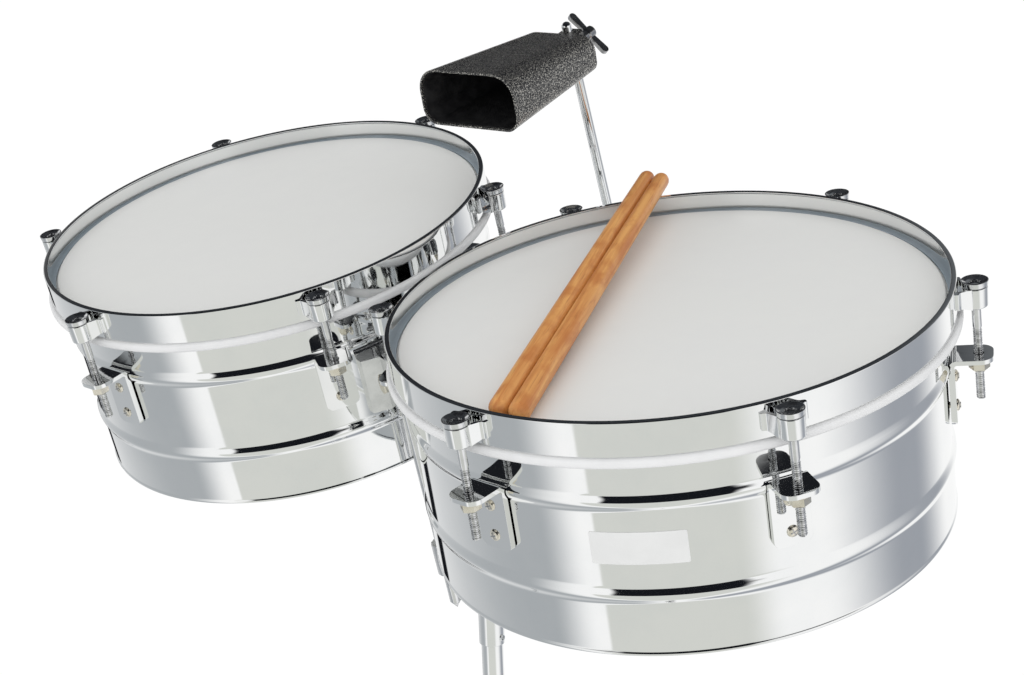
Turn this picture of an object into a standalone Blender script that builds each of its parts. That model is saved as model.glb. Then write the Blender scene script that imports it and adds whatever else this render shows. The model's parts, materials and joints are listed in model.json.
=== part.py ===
"""A pair of timbales on a tilting tripod stand, with a cowbell and two sticks.

Metres, +Z up. The player stands on the -Y side and the large drum is on +X. The model is
laid out from the stand's post axis, and the whole is then moved so that the origin is the
middle of its bounding box on the floor.
"""

import math
from dataclasses import dataclass

import bmesh
import bpy
from mathutils import Matrix, Vector

# Fits and facets
CLEARANCE = 0.0003
DRUM_SIDES = 42
ROUND_SIDES = 12
BOLT_SIDES = 8

# Shells, and how each hangs from the tilt hinge
LARGE_RADIUS = 0.1818
LARGE_FROM_POST = 0.0188
LARGE_RIM_RISE = 0.2359
LARGE_SET_BACK = 0.0164
LARGE_UPRIGHT_TAIL = 0.020
SMALL_RADIUS = 0.1693
SMALL_FROM_POST = 0.0195
SMALL_RIM_RISE = 0.2492
SMALL_SET_BACK = 0.0351
SMALL_UPRIGHT_TAIL = 0.0416
DRUM_HEIGHT = 0.1673
SHELL_WALL = 0.0015
BEAD_PROUD = 0.0022
BEAD_HALF_HEIGHT = 0.0068
UPPER_BEAD_DROP = 0.059
LOWER_BEAD_DROP = 0.124
LIP_PROUD = 0.0012
LIP_HEIGHT = 0.0028

# Heads
FILM_DROP = 0.013
FILM_THICKNESS = 0.0008
COLLAR_WALL = 0.0012
FLESH_HOOP_WIDTH = 0.0044
FLESH_HOOP_HEIGHT = 0.0072

# Counter hoops
HOOP_PROUD = 0.0090
HOOP_WALL = 0.0023
HOOP_HEIGHT = 0.030
HOOP_FLANGE = 0.0022
HOOP_BEAD_PROUD = 0.0032
HOOP_BEAD_HEIGHT = 0.007
EAR_HEIGHT = 0.016
EAR_HALF_WIDTH = 0.015
EAR_CUP_RADIUS = 0.0065
EAR_SHEET = 0.002

# Tension rods and their shell brackets
LUG_COUNT = 6
LUG_REACH = 0.020
ROD_RADIUS = 0.003
ROD_TIP_DROP = 0.0864
ROD_HEAD_RADIUS = 0.0098
ROD_HEAD_HEIGHT = 0.0047
ROD_HEAD_DROP = 0.0015
SOCKET_RADIUS = 0.0068
SOCKET_DEPTH = 0.0014
BRACKET_WIDTH = 0.0254
BRACKET_HEIGHT = 0.0475
BRACKET_DROP = 0.0535
BRACKET_SHEET = 0.003
BRACKET_END = 0.0095
BRACKET_END_CORNER = 0.0085
BRACKET_CORNER = 0.005
NUT_RADIUS = 0.0065
NUT_HEIGHT = 0.005

# Drum mounts: a saddle on each shell slides on the upright of a tilting arm
MOUNT_STANDOFF = 0.0155
MOUNT_WIDTH = 0.044
MOUNT_SADDLE = 0.005
MOUNT_HEIGHT = 0.044
MOUNT_BOSS_HALF = 0.0085
UPRIGHT_RADIUS = 0.0045
UPRIGHT_SPARE = 0.012
UPRIGHT_FORWARD = 0.025
KEY_BOLT_RADIUS = 0.0024
KEY_HEAD_RADIUS = 0.005
KEY_HEAD_HEIGHT = 0.006

# Tilting arms on the stand's head
HINGE_HEIGHT = 0.665
HINGE_FORWARD = 0.0118
TILTER_RADIUS = 0.015
TILTER_THICKNESS = 0.009
TILTER_BOSS_RADIUS = 0.008
TILTER_BOSS_HALF = 0.014
TONGUE_THICKNESS = 0.008
TONGUE_RADIUS = 0.014

# Stand
SLEEVE_RADIUS = 0.0103
SLEEVE_LENGTH = 0.0663
SLEEVE_BELOW_HINGE = 0.022
SLEEVE_TOP = HINGE_HEIGHT - SLEEVE_BELOW_HINGE
SLEEVE_BOTTOM = SLEEVE_TOP - SLEEVE_LENGTH
SLEEVE_CAP = 0.012
UPPER_TUBE_RADIUS = 0.00875
UPPER_TUBE_WALL = 0.00175
UPPER_TUBE_BOTTOM = 0.225
LOWER_TUBE_RADIUS = 0.011
LOWER_TUBE_BOTTOM = 0.085
LEG_PIVOT_RADIUS = 0.030
LEG_PIVOT_HEIGHT = 0.378
PIVOT_BELOW_TUBE_TOP = 0.014
LOWER_TUBE_TOP = LEG_PIVOT_HEIGHT + PIVOT_BELOW_TUBE_TOP
HUB_RADIUS = 0.017
HUB_SKIRT = 0.030
HUB_NECK = 0.022
LEG_COUNT = 3
FIRST_LEG_ANGLE = math.radians(90)
LEG_SPREAD = 0.330
LEG_RADIUS = 0.007
LEG_TONGUE = 0.005
LEG_TONGUE_LENGTH = 0.032
PIVOT_PIN_RADIUS = 0.003
CLEVIS_WALL = 0.004
CLEVIS_HALF_HEIGHT = 0.0075
BRACE_LENGTH = 0.140
BRACE_WIDTH = 0.012
BRACE_SHEET = 0.004
BRACE_PIN_RADIUS = 0.0025
COLLAR_RADIUS = 0.016
COLLAR_HALF_HEIGHT = 0.010
COLLAR_WING_REACH = 0.0105
FOOT_RADIUS = 0.011
FOOT_LENGTH = 0.048
FOOT_SOLE = 0.014

# Cowbell and its arm
CLAMP_BELOW_SLEEVE_TOP = 0.020
CLAMP_HEIGHT = SLEEVE_TOP - CLAMP_BELOW_SLEEVE_TOP
CLAMP_HALF_HEIGHT = 0.011
CLAMP_RADIUS = 0.0155
EYE_BACK = 0.022
EYE_HALF = 0.009
EYE_DEPTH = 0.020
ARM_RADIUS = 0.004
ARM_TILT = math.radians(17.6)
ARM_REACH = 0.218
ARM_RISE = 0.384
ARM_BEND_RADIUS = 0.025
BELL_BELOW_TIP = 0.020
BELL_DROOP = math.radians(5.8)
BELL_LENGTH = 0.116
BELL_MOUTH_WIDTH = 0.0925
BELL_MOUTH_HEIGHT = 0.0435
BELL_END_WIDTH = 0.068
BELL_END_HEIGHT = 0.029
BELL_WALL = 0.0016
BELL_CORNER = 0.008
BELL_CROWN = 0.0135
BELL_EYE_HALF = 0.010

# Wing bolts
BOLT_RADIUS = 0.003
WING_REACH = 0.016
WING_SHEET = 0.0035
WING_ROOT = 0.008
WING_BOSS_RADIUS = 0.0052
TILT_BOLT_NECK = 0.010
BELL_BOLT_NECK = 0.009
BELL_WING_REACH = 0.021
BELL_BAR_HALF_HEIGHT = 0.0028
BELL_BOLT_TURN = math.radians(46.0)

# Sticks
STICK_BUTT_RADIUS = 0.0071
STICK_TIP_RADIUS = 0.0061
STICK_LENGTH = 0.378
STICK_END = 0.004
STICK_YAW = math.radians(21.03)
STICK_COUNT = 2
STICK_SPACING = 0.0152
STICK_BUTT_SIDE = 0.0002
STICK_BUTT_FRONT = 0.180
STICK_STAGGER = 0.0008


@dataclass(frozen=True)
class Drum:
    """One drum: its shell, how it is hung, and where its lugs stand.

    side is +1 for the drum on +X, rim_above_hinge and axis_behind_hinge are measured square
    to the tilted drum, and centre_offset is the drum axis' distance from the post along X.
    """

    name: str
    side: int
    radius: float
    tilt: float
    first_lug: float
    centre_offset: float
    rim_above_hinge: float
    axis_behind_hinge: float
    upright_tail: float

    @property
    def lug_circle(self) -> float:
        return self.radius + LUG_REACH

    @property
    def mount_place(self) -> tuple:
        """The upright's axis, seen from the drum's axis."""
        forward = UPRIGHT_FORWARD + self.axis_behind_hinge
        reach = self.radius + MOUNT_STANDOFF
        return (-self.side * math.sqrt(reach**2 - forward**2), -forward)


LARGE = Drum(
    name="large",
    side=1,
    radius=LARGE_RADIUS,
    tilt=math.radians(10.3),
    first_lug=math.radians(-93.9),
    centre_offset=LARGE_RADIUS + LARGE_FROM_POST,
    rim_above_hinge=LARGE_RIM_RISE,
    axis_behind_hinge=LARGE_SET_BACK,
    upright_tail=LARGE_UPRIGHT_TAIL,
)
SMALL = Drum(
    name="small",
    side=-1,
    radius=SMALL_RADIUS,
    tilt=math.radians(14.57),
    first_lug=math.radians(-92.6),
    centre_offset=SMALL_RADIUS + SMALL_FROM_POST,
    rim_above_hinge=SMALL_RIM_RISE,
    axis_behind_hinge=SMALL_SET_BACK,
    upright_tail=SMALL_UPRIGHT_TAIL,
)

CHROME = ((0.62, 0.63, 0.62), 0.08, 1.0)
NICKEL = ((0.66, 0.62, 0.54), 0.25, 1.0)
STEEL = ((0.55, 0.55, 0.56), 0.25, 1.0)
FILM_WHITE = ((0.86, 0.87, 0.88), 0.35, 0.0)
BELL_BLACK = ((0.03, 0.03, 0.035), 0.45, 0.3)
DARK_STEEL = ((0.08, 0.08, 0.09), 0.40, 0.8)
WOOD = ((0.62, 0.36, 0.17), 0.45, 0.0)
RUBBER = ((0.03, 0.03, 0.03), 0.80, 0.0)


def clear_scene() -> None:
    """Remove every object that the open file holds."""
    for item in list(bpy.data.objects):
        bpy.data.objects.remove(item, do_unlink=True)


def anchor(name, parent=None, location=(0, 0, 0), rotation=(0, 0, 0)):
    """An empty that carries pieces, such as one on a joint's axis."""
    item = bpy.data.objects.new(name, None)
    bpy.context.scene.collection.objects.link(item)
    item.parent = parent
    item.location = location
    item.rotation_euler = rotation
    return item


def piece(name, mesh, finish, parent, location=(0, 0, 0), rotation=(0, 0, 0)):
    """A named sub-part with its own material."""
    colour, roughness, metallic = finish
    material = bpy.data.materials.new(name)
    material.use_nodes = True
    shader = material.node_tree.nodes["Principled BSDF"]
    shader.inputs["Base Color"].default_value = (*colour, 1.0)
    shader.inputs["Roughness"].default_value = roughness
    shader.inputs["Metallic"].default_value = metallic
    item = bpy.data.objects.new(name, mesh)
    bpy.context.scene.collection.objects.link(item)
    if not mesh.materials:
        mesh.materials.append(material)
    item.material_slots[0].link = "OBJECT"
    item.material_slots[0].material = material
    item.parent = parent
    item.location = location
    item.rotation_euler = rotation
    mesh.shade_smooth()
    mesh.set_sharp_from_angle(angle=math.radians(32))
    return item


def finished(shape, matrix=None):
    """Turn a bmesh into a mesh with its faces pointing out."""
    if matrix is not None:
        bmesh.ops.transform(shape, matrix=matrix, verts=shape.verts)
    bmesh.ops.recalc_face_normals(shape, faces=shape.faces)
    mesh = bpy.data.meshes.new("shape")
    shape.to_mesh(mesh)
    shape.free()
    return mesh


def skin_rings(shape, rings, closed):
    """Join rings of vertices, where a ring of one vertex is a pole."""
    pairs = list(zip(rings, rings[1:]))
    if closed:
        pairs.append((rings[-1], rings[0]))
    for first, second in pairs:
        count = max(len(first), len(second))
        for i in range(count):
            j = (i + 1) % count
            corners = [ring[k % len(ring)] for ring, k in ((first, i), (first, j), (second, j), (second, i))]
            shape.faces.new(list(dict.fromkeys(corners)))


def turned(profile, sides, phase=0.0, matrix=None):
    """Turn a profile of (radius, height) points about Z; radius 0 is a pole."""
    shape = bmesh.new()
    rings = []
    for radius, height in profile:
        if radius == 0:
            rings.append([shape.verts.new((0, 0, height))])
            continue
        angles = [phase + 2 * math.pi * i / sides for i in range(sides)]
        rings.append([shape.verts.new((radius * math.cos(a), radius * math.sin(a), height)) for a in angles])
    skin_rings(shape, rings, closed=profile[0][0] != 0)
    return finished(shape, matrix)


def rod(radius, low, high, sides=ROUND_SIDES, matrix=None):
    """A plain round bar along Z."""
    return turned(((0, low), (radius, low), (radius, high), (0, high)), sides, matrix=matrix)


def plate(outline, low, high, holes=(), matrix=None):
    """Extrude an outline in XY, with holes, from low to high."""
    shape = bmesh.new()
    edges = []
    for loop in (outline, *holes):
        corners = [shape.verts.new((x, y, low)) for x, y in loop]
        edges += [shape.edges.new((a, b)) for a, b in zip(corners, corners[1:] + corners[:1])]
    bmesh.ops.triangle_fill(shape, edges=edges, use_beauty=True)
    grown = bmesh.ops.extrude_face_region(shape, geom=shape.faces[:])
    raised = [item for item in grown["geom"] if isinstance(item, bmesh.types.BMVert)]
    bmesh.ops.translate(shape, verts=raised, vec=(0, 0, high - low))
    return finished(shape, matrix)


def box(low, high, matrix=None):
    """A block between two corners."""
    outline = ((low[0], low[1]), (high[0], low[1]), (high[0], high[1]), (low[0], high[1]))
    return plate(outline, low[2], high[2], matrix=matrix)


def arc(radius, start, end, count, centre=(0, 0)):
    """Points on an arc, both ends included, with angles in degrees."""
    angles = [math.radians(start + (end - start) * i / (count - 1)) for i in range(count)]
    return [(centre[0] + radius * math.cos(a), centre[1] + radius * math.sin(a)) for a in angles]


def ring_of(radius, sides=ROUND_SIDES, centre=(0, 0)):
    """A closed polygon whose flats clear a round bar of this radius."""
    wide = radius / math.cos(math.pi / sides)
    return arc(wide, 0, 360 - 360 / sides, sides, centre)


def bore(radius, low, high, matrix=None, sides=ROUND_SIDES):
    """A cutter for a hole that clears a round bar of this radius."""
    return rod(radius / math.cos(math.pi / sides), low, high, sides, matrix)


def combined(base, tools, operation):
    """Unite a mesh with others, or cut them out of it."""
    for tool in tools:
        first = bpy.data.objects.new("base", base)
        second = bpy.data.objects.new("tool", tool)
        for item in (first, second):
            bpy.context.scene.collection.objects.link(item)
        step = first.modifiers.new("step", "BOOLEAN")
        step.operation = operation
        step.object = second
        graph = bpy.context.evaluated_depsgraph_get()
        base = bpy.data.meshes.new_from_object(first.evaluated_get(graph))
        for item in (first, second):
            bpy.data.objects.remove(item, do_unlink=True)
    return base


def united(base, *tools):
    """Join meshes into one body."""
    return combined(base, tools, "UNION")


def cut(base, *tools):
    """Cut tools out of a mesh."""
    return combined(base, tools, "DIFFERENCE")


def along_x(turn=math.pi / 2):
    """Lay a shape's Z axis along X, or along -X for a negative turn."""
    return Matrix.Rotation(turn, 4, "Y")


def across_x(side=1):
    """Stand a plate's outline in the YZ plane and its thickness along X, or -X."""
    return Matrix(((0, 0, side, 0), (1, 0, 0, 0), (0, 1, 0, 0), (0, 0, 0, 1)))


def across_y(side=1):
    """Stand a plate's outline in the XZ plane and its thickness along Y, or -Y."""
    return Matrix(((1, 0, 0, 0), (0, 0, side, 0), (0, 1, 0, 0), (0, 0, 0, 1)))


def along_y(side=1):
    """Lay a shape's Z axis along Y, or along -Y for a negative side."""
    return Matrix.Rotation(-side * math.pi / 2, 4, "X")


def shell_mesh(drum):
    """The sheet-metal shell with two formed beads and a rolled lip, open at both ends."""
    outer = drum.radius
    inner = outer - SHELL_WALL
    top = -FILM_DROP - FILM_THICKNESS - CLEARANCE
    half = BEAD_HALF_HEIGHT
    crest = 0.45 * half
    outside = [(outer, top)]
    inside = [(inner, top)]
    for drop in (UPPER_BEAD_DROP, LOWER_BEAD_DROP):
        for rise, proud in ((half, 0), (crest, BEAD_PROUD), (-crest, BEAD_PROUD), (-half, 0)):
            outside.append((outer + proud, rise - drop))
        for rise, proud in ((half, 0), (0, BEAD_PROUD), (-half, 0)):
            inside.append((inner + proud, 0.9 * rise - drop))
    outside.append((outer, LIP_HEIGHT - DRUM_HEIGHT))
    outside.append((outer + LIP_PROUD, 0.5 * LIP_HEIGHT - DRUM_HEIGHT))
    outside.append((outer + LIP_PROUD, -DRUM_HEIGHT))
    inside.append((inner, -DRUM_HEIGHT))
    return turned(outside + inside[::-1], DRUM_SIDES, facet_phase(drum))


def facet_phase(drum):
    """Turn the facets so that the middle of one faces each lug."""
    return drum.first_lug - math.pi / DRUM_SIDES


def head_mesh(drum):
    """The film, its drawn collar and the flesh hoop that grips it."""
    inner = drum.radius + 2 * CLEARANCE
    outer = inner + COLLAR_WALL
    under_flange = -FILM_DROP - HOOP_FLANGE - CLEARANCE
    low = under_flange - FLESH_HOOP_HEIGHT
    profile = (
        (0, -FILM_DROP),
        (outer - COLLAR_WALL / 2, -FILM_DROP),
        (outer, under_flange),
        (outer + FLESH_HOOP_WIDTH, under_flange),
        (outer + FLESH_HOOP_WIDTH, low),
        (inner, low),
        (inner, -FILM_DROP - FILM_THICKNESS),
        (0, -FILM_DROP - FILM_THICKNESS),
    )
    return turned(profile, DRUM_SIDES, facet_phase(drum))


def ear_mesh():
    """A folded ear: two converging sheets from the hoop's wall to a cup round the rod."""
    wall = HOOP_PROUD - LUG_REACH
    root = wall + EAR_SHEET / 2
    cup = arc(EAR_CUP_RADIUS, 125, -125, 7)
    outline = [(wall - 0.6 * HOOP_WALL, EAR_HALF_WIDTH), (root, EAR_HALF_WIDTH), *cup]
    outline += [(root, -EAR_HALF_WIDTH), (wall - 0.6 * HOOP_WALL, -EAR_HALF_WIDTH)]
    slope = (cup[0][1] - EAR_HALF_WIDTH) / (cup[0][0] - root)
    inset = EAR_SHEET * math.hypot(1, slope)
    window = []
    for x in (wall + EAR_SHEET / 4, -EAR_CUP_RADIUS - EAR_SHEET / 2):
        window.append((x, EAR_HALF_WIDTH + slope * (x - root) - inset))
    window += [(x, -y) for x, y in window[::-1]]
    top = -ROD_HEAD_DROP - ROD_HEAD_HEIGHT - CLEARANCE
    return plate(outline, top - EAR_HEIGHT, top, (window, ring_of(ROD_RADIUS + CLEARANCE, BOLT_SIDES)))


def hoop_mesh(drum):
    """The counter hoop with its flange over the flesh hoop and an ear at each lug."""
    outer = drum.radius + HOOP_PROUD
    inner = outer - HOOP_WALL
    flange = drum.radius + 2 * CLEARANCE + 2 * COLLAR_WALL
    crown = HOOP_WALL / 4
    bead_top = HOOP_BEAD_HEIGHT - HOOP_HEIGHT
    profile = (
        (inner + HOOP_WALL / 2, 0),
        (outer, -crown),
        (outer, bead_top),
        (outer + HOOP_BEAD_PROUD, bead_top - 0.25 * HOOP_BEAD_HEIGHT),
        (outer + HOOP_BEAD_PROUD, bead_top - 0.75 * HOOP_BEAD_HEIGHT),
        (outer, -HOOP_HEIGHT),
        (inner, -HOOP_HEIGHT),
        (inner, -FILM_DROP - HOOP_FLANGE),
        (flange, -FILM_DROP - HOOP_FLANGE),
        (flange, -FILM_DROP),
        (inner, -FILM_DROP),
        (inner, -crown),
    )
    ears = []
    for i in range(LUG_COUNT):
        ear = ear_mesh()
        ear.transform(lug_matrix(drum, i))
        ears.append(ear)
    return united(turned(profile, DRUM_SIDES, facet_phase(drum)), *ears)


def lug_matrix(drum, index):
    """A lug's frame: on the rod's axis at rim height, with X pointing out."""
    turn = Matrix.Rotation(drum.first_lug + 2 * math.pi * index / LUG_COUNT, 4, "Z")
    return turn @ Matrix.Translation((drum.lug_circle, 0, 0))


def tension_rod_mesh():
    """A tension rod with a round dished head."""
    top = -ROD_HEAD_DROP
    under = top - ROD_HEAD_HEIGHT
    profile = (
        (0, top - SOCKET_DEPTH),
        (SOCKET_RADIUS, top - SOCKET_DEPTH),
        (SOCKET_RADIUS + SOCKET_DEPTH / 2, top),
        (ROD_HEAD_RADIUS, top),
        (ROD_HEAD_RADIUS, under),
        (ROD_RADIUS, under),
        (ROD_RADIUS, -ROD_TIP_DROP),
        (0, -ROD_TIP_DROP),
    )
    return turned(profile, BOLT_SIDES)


def lug_bracket_mesh(drum):
    """A bent plate on the shell's bead, with a round-ended shelf and the nut under it."""
    flat = (drum.radius + BEAD_PROUD) * math.cos(math.pi / DRUM_SIDES)
    back = flat + CLEARANCE - drum.lug_circle
    half = BRACKET_WIDTH / 2
    top = -BRACKET_DROP
    low = top - BRACKET_HEIGHT
    rounded = [(half, top), (half, low + BRACKET_CORNER), (half - BRACKET_CORNER, low)]
    rounded += [(-y, z) for y, z in rounded[::-1]]
    upright = plate(rounded, back, back + BRACKET_SHEET, matrix=across_x())
    corner = BRACKET_END_CORNER
    side = [(back, half), *arc(corner, 90, 0, 4, (BRACKET_END - corner, half - corner))]
    shelf = plate([*side, *[(x, -y) for x, y in side[::-1]]], top - BRACKET_SHEET, top)
    nut = rod(NUT_RADIUS, top - BRACKET_SHEET - NUT_HEIGHT, top - BRACKET_SHEET / 2, BOLT_SIDES)
    hole = bore(ROD_RADIUS + CLEARANCE, low, top + BRACKET_SHEET, sides=BOLT_SIDES)
    return cut(united(upright, shelf, nut), hole)


def mount_bracket_mesh(drum):
    """The saddle on the shell, bored for the upright and for its key bolt."""
    seat = -MOUNT_STANDOFF
    half = MOUNT_WIDTH / 2
    boss = MOUNT_BOSS_HALF
    outline = [
        (seat - MOUNT_SADDLE, -half),
        (seat + MOUNT_SADDLE, -half),
        (seat + 2 * MOUNT_SADDLE, -boss),
        (boss / 2, -boss),
        (boss, -boss / 2),
    ]
    outline += [(x, -y) for x, y in outline[::-1]]
    block = plate(outline, -MOUNT_HEIGHT / 2, MOUNT_HEIGHT / 2)
    x, y = drum.mount_place
    centre = Matrix.Translation((-drum.radius - MOUNT_STANDOFF, 0, 0))
    outer = drum.radius + CLEARANCE
    profile = ((0, -MOUNT_HEIGHT), (outer, -MOUNT_HEIGHT), (outer, MOUNT_HEIGHT), (0, MOUNT_HEIGHT))
    shell = turned(profile, DRUM_SIDES, facet_phase(drum) - math.atan2(y, x), centre)
    upright = bore(UPRIGHT_RADIUS + CLEARANCE, -MOUNT_HEIGHT, MOUNT_HEIGHT)
    bolt = bore(KEY_BOLT_RADIUS + CLEARANCE, 0, 2 * boss, matrix=along_y(drum.side))
    return cut(block, shell, upright, bolt)


def key_bolt_mesh():
    """A hexagon bolt that grips the upright, with its axis along Z from the upright's axis."""
    seat = MOUNT_BOSS_HALF + CLEARANCE
    profile = (
        (0, UPRIGHT_RADIUS + CLEARANCE),
        (KEY_BOLT_RADIUS, UPRIGHT_RADIUS + CLEARANCE),
        (KEY_BOLT_RADIUS, seat),
        (KEY_HEAD_RADIUS, seat),
        (KEY_HEAD_RADIUS, seat + KEY_HEAD_HEIGHT),
        (0, seat + KEY_HEAD_HEIGHT),
    )
    return turned(profile, 6)


def upright_top(drum):
    """Height of the upright's tip above the hinge."""
    return drum.rim_above_hinge - mount_drop() + MOUNT_HEIGHT / 2 + UPRIGHT_SPARE


def mount_drop():
    """The saddle sits midway between the two beads."""
    return (UPPER_BEAD_DROP + LOWER_BEAD_DROP) / 2


def tilt_arm_mesh(drum):
    """A tilter disc on the hinge, an arm forward from it, and the upright it carries."""
    near = TONGUE_THICKNESS / 2 + CLEARANCE
    outline = arc(TILTER_RADIUS, 140, -140, 11)
    outline += [(-UPRIGHT_FORWARD, -0.6 * TILTER_RADIUS), (-UPRIGHT_FORWARD, 0.6 * TILTER_RADIUS)]
    hole = ring_of(BOLT_RADIUS + CLEARANCE)
    arm = plate(outline, near, near + TILTER_THICKNESS, (hole,), across_x(drum.side))
    foot = (upright_offset(drum), -UPRIGHT_FORWARD, 0)
    profile = (
        (0, -drum.upright_tail - TILTER_BOSS_HALF / 2),
        (UPRIGHT_RADIUS, -drum.upright_tail),
        (UPRIGHT_RADIUS, -TILTER_BOSS_HALF),
        (TILTER_BOSS_RADIUS, -TILTER_BOSS_HALF),
        (TILTER_BOSS_RADIUS, TILTER_BOSS_HALF),
        (UPRIGHT_RADIUS, TILTER_BOSS_HALF),
        (UPRIGHT_RADIUS, upright_top(drum)),
        (0, upright_top(drum)),
    )
    return united(arm, turned(profile, ROUND_SIDES, matrix=Matrix.Translation(foot)))


def upright_offset(drum):
    """The upright's place along X, from the post."""
    return drum.side * drum.centre_offset + drum.mount_place[0]


def head_sleeve_mesh():
    """The stand's head: a socket over the upper tube and a tongue between the tilters."""
    inside = UPPER_TUBE_RADIUS + CLEARANCE
    profile = (
        (0, SLEEVE_TOP),
        (SLEEVE_RADIUS, SLEEVE_TOP),
        (SLEEVE_RADIUS, SLEEVE_BOTTOM),
        (inside, SLEEVE_BOTTOM),
        (inside, SLEEVE_TOP - SLEEVE_CAP),
        (0, SLEEVE_TOP - SLEEVE_CAP),
    )
    eye = arc(TONGUE_RADIUS, -10, 190, 11, (-HINGE_FORWARD, HINGE_HEIGHT))
    root = SLEEVE_TOP - SLEEVE_CAP / 2
    outline = [*eye, (-0.8 * SLEEVE_RADIUS, root), (0.8 * SLEEVE_RADIUS, root)]
    hole = ring_of(BOLT_RADIUS + CLEARANCE, centre=(-HINGE_FORWARD, HINGE_HEIGHT))
    tongue = plate(outline, -TONGUE_THICKNESS / 2, TONGUE_THICKNESS / 2, (hole,), across_x())
    return united(turned(profile, ROUND_SIDES), tongue)


def wing_bolt_mesh(shank_tip, seat, neck=0.0, reach=WING_REACH):
    """A wing bolt along Z: its tip, the face its boss rests on, its neck and its wings' reach."""
    shoulder = seat + CLEARANCE
    wing_low = shoulder + neck
    top = wing_low + WING_ROOT
    profile = (
        (0, shank_tip),
        (BOLT_RADIUS, shank_tip),
        (BOLT_RADIUS, shoulder),
        (WING_BOSS_RADIUS, shoulder),
        (WING_BOSS_RADIUS, top),
        (0, top),
    )
    wing = [
        (-WING_BOSS_RADIUS, wing_low + WING_ROOT / 8),
        (WING_BOSS_RADIUS, wing_low + WING_ROOT / 8),
        (reach, wing_low + WING_ROOT / 2),
        (reach, top + WING_ROOT / 2),
        (reach - WING_ROOT / 2, top + WING_ROOT / 2),
        (WING_BOSS_RADIUS, top - WING_ROOT / 4),
    ]
    wing += [(-x, z) for x, z in wing[:1:-1]]
    wings = plate(wing, -WING_SHEET / 2, WING_SHEET / 2, matrix=across_y(-1))
    return united(turned(profile, BOLT_SIDES), wings)


def bar_bolt_mesh():
    """The bell's bolt along Z: a shank, a boss and a slender bar with rounded ends across it."""
    shoulder = BELL_EYE_HALF + CLEARANCE
    top = shoulder + BELL_BOLT_NECK + WING_ROOT
    profile = (
        (0, ARM_RADIUS + CLEARANCE),
        (BOLT_RADIUS, ARM_RADIUS + CLEARANCE),
        (BOLT_RADIUS, shoulder),
        (WING_BOSS_RADIUS, shoulder),
        (WING_BOSS_RADIUS, top),
        (0, top),
    )
    half = BELL_BAR_HALF_HEIGHT
    middle = top - WING_ROOT / 2
    end = arc(half, -90, 90, 5, (BELL_WING_REACH - half, middle))
    outline = [*end, *[(-x, z) for x, z in end[::-1]]]
    bar = plate(outline, -WING_SHEET / 2, WING_SHEET / 2, matrix=across_y(-1))
    return united(turned(profile, BOLT_SIDES), bar)


def tube_mesh(radius, inside, low, high):
    """A tube open at both ends."""
    return turned(((inside, low), (radius, low), (radius, high), (inside, high)), ROUND_SIDES)


def leg_angle(index):
    """A leg's direction, seen from above."""
    return FIRST_LEG_ANGLE + 2 * math.pi * index / LEG_COUNT


def leg_slope():
    """A spread leg's angle from the post."""
    return math.atan2(LEG_SPREAD - LEG_PIVOT_RADIUS, LEG_PIVOT_HEIGHT)


def leg_length():
    """From the leg's pivot to the floor, along the leg."""
    return math.hypot(LEG_SPREAD - LEG_PIVOT_RADIUS, LEG_PIVOT_HEIGHT)


def bolt_direction():
    """The stand's wing bolts point to the front, between two legs."""
    return Matrix.Rotation(FIRST_LEG_ANGLE + math.pi, 4, "Z") @ along_x()


def leg_hub_mesh():
    """The casting on the lower tube: leg clevises with pins, and a neck for the height bolt."""
    skirt = LOWER_TUBE_RADIUS + CLEARANCE
    neck = UPPER_TUBE_RADIUS + CLEARANCE
    step = LOWER_TUBE_TOP + CLEARANCE
    profile = (
        (skirt, step - HUB_SKIRT),
        (HUB_RADIUS, step - HUB_SKIRT),
        (HUB_RADIUS, step + HUB_NECK),
        (neck, step + HUB_NECK),
        (neck, step),
        (skirt, step),
    )
    ears = []
    inner = LEG_TONGUE / 2 + CLEARANCE
    reach = LEG_PIVOT_RADIUS + CLEVIS_HALF_HEIGHT
    for i in range(LEG_COUNT):
        turn = Matrix.Rotation(leg_angle(i), 4, "Z")
        for side in (-1, 1):
            sides = sorted((side * inner, side * (inner + CLEVIS_WALL)))
            low = (0.9 * HUB_RADIUS, sides[0], LEG_PIVOT_HEIGHT - CLEVIS_HALF_HEIGHT)
            high = (reach, sides[1], LEG_PIVOT_HEIGHT + CLEVIS_HALF_HEIGHT)
            ears.append(box(low, high, turn))
        pin = turn @ Matrix.Translation((LEG_PIVOT_RADIUS, 0, LEG_PIVOT_HEIGHT)) @ along_y()
        ears.append(rod(PIVOT_PIN_RADIUS, -inner - CLEVIS_WALL / 2, inner + CLEVIS_WALL / 2, matrix=pin))
    hole = bore(BOLT_RADIUS + CLEARANCE, 0, 2 * HUB_RADIUS,
                matrix=Matrix.Translation((0, 0, step + HUB_NECK / 2)) @ bolt_direction())
    return cut(united(turned(profile, ROUND_SIDES), *ears), hole)


def leg_mesh():
    """A tubular leg along -Z from its pivot, with a flat tongue and the brace's pin."""
    width = LEG_RADIUS
    outline = [*arc(width, 0, 180, 7), (-width, -LEG_TONGUE_LENGTH), (width, -LEG_TONGUE_LENGTH)]
    hole = ring_of(PIVOT_PIN_RADIUS + CLEARANCE)
    tongue = plate(outline, -LEG_TONGUE / 2, LEG_TONGUE / 2, (hole,), across_y())
    tube = rod(LEG_RADIUS, FOOT_SOLE - leg_length(), -0.6 * LEG_TONGUE_LENGTH)
    pin = rod(BRACE_PIN_RADIUS, 0, brace_plane() + BRACE_SHEET, BOLT_SIDES,
              Matrix.Translation((0, 0, -BRACE_LENGTH)) @ along_y())
    return united(tube, tongue, pin)


def brace_plane():
    """Distance of the brace's inner face from the leg's middle plane."""
    return LEG_RADIUS + CLEARANCE


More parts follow.
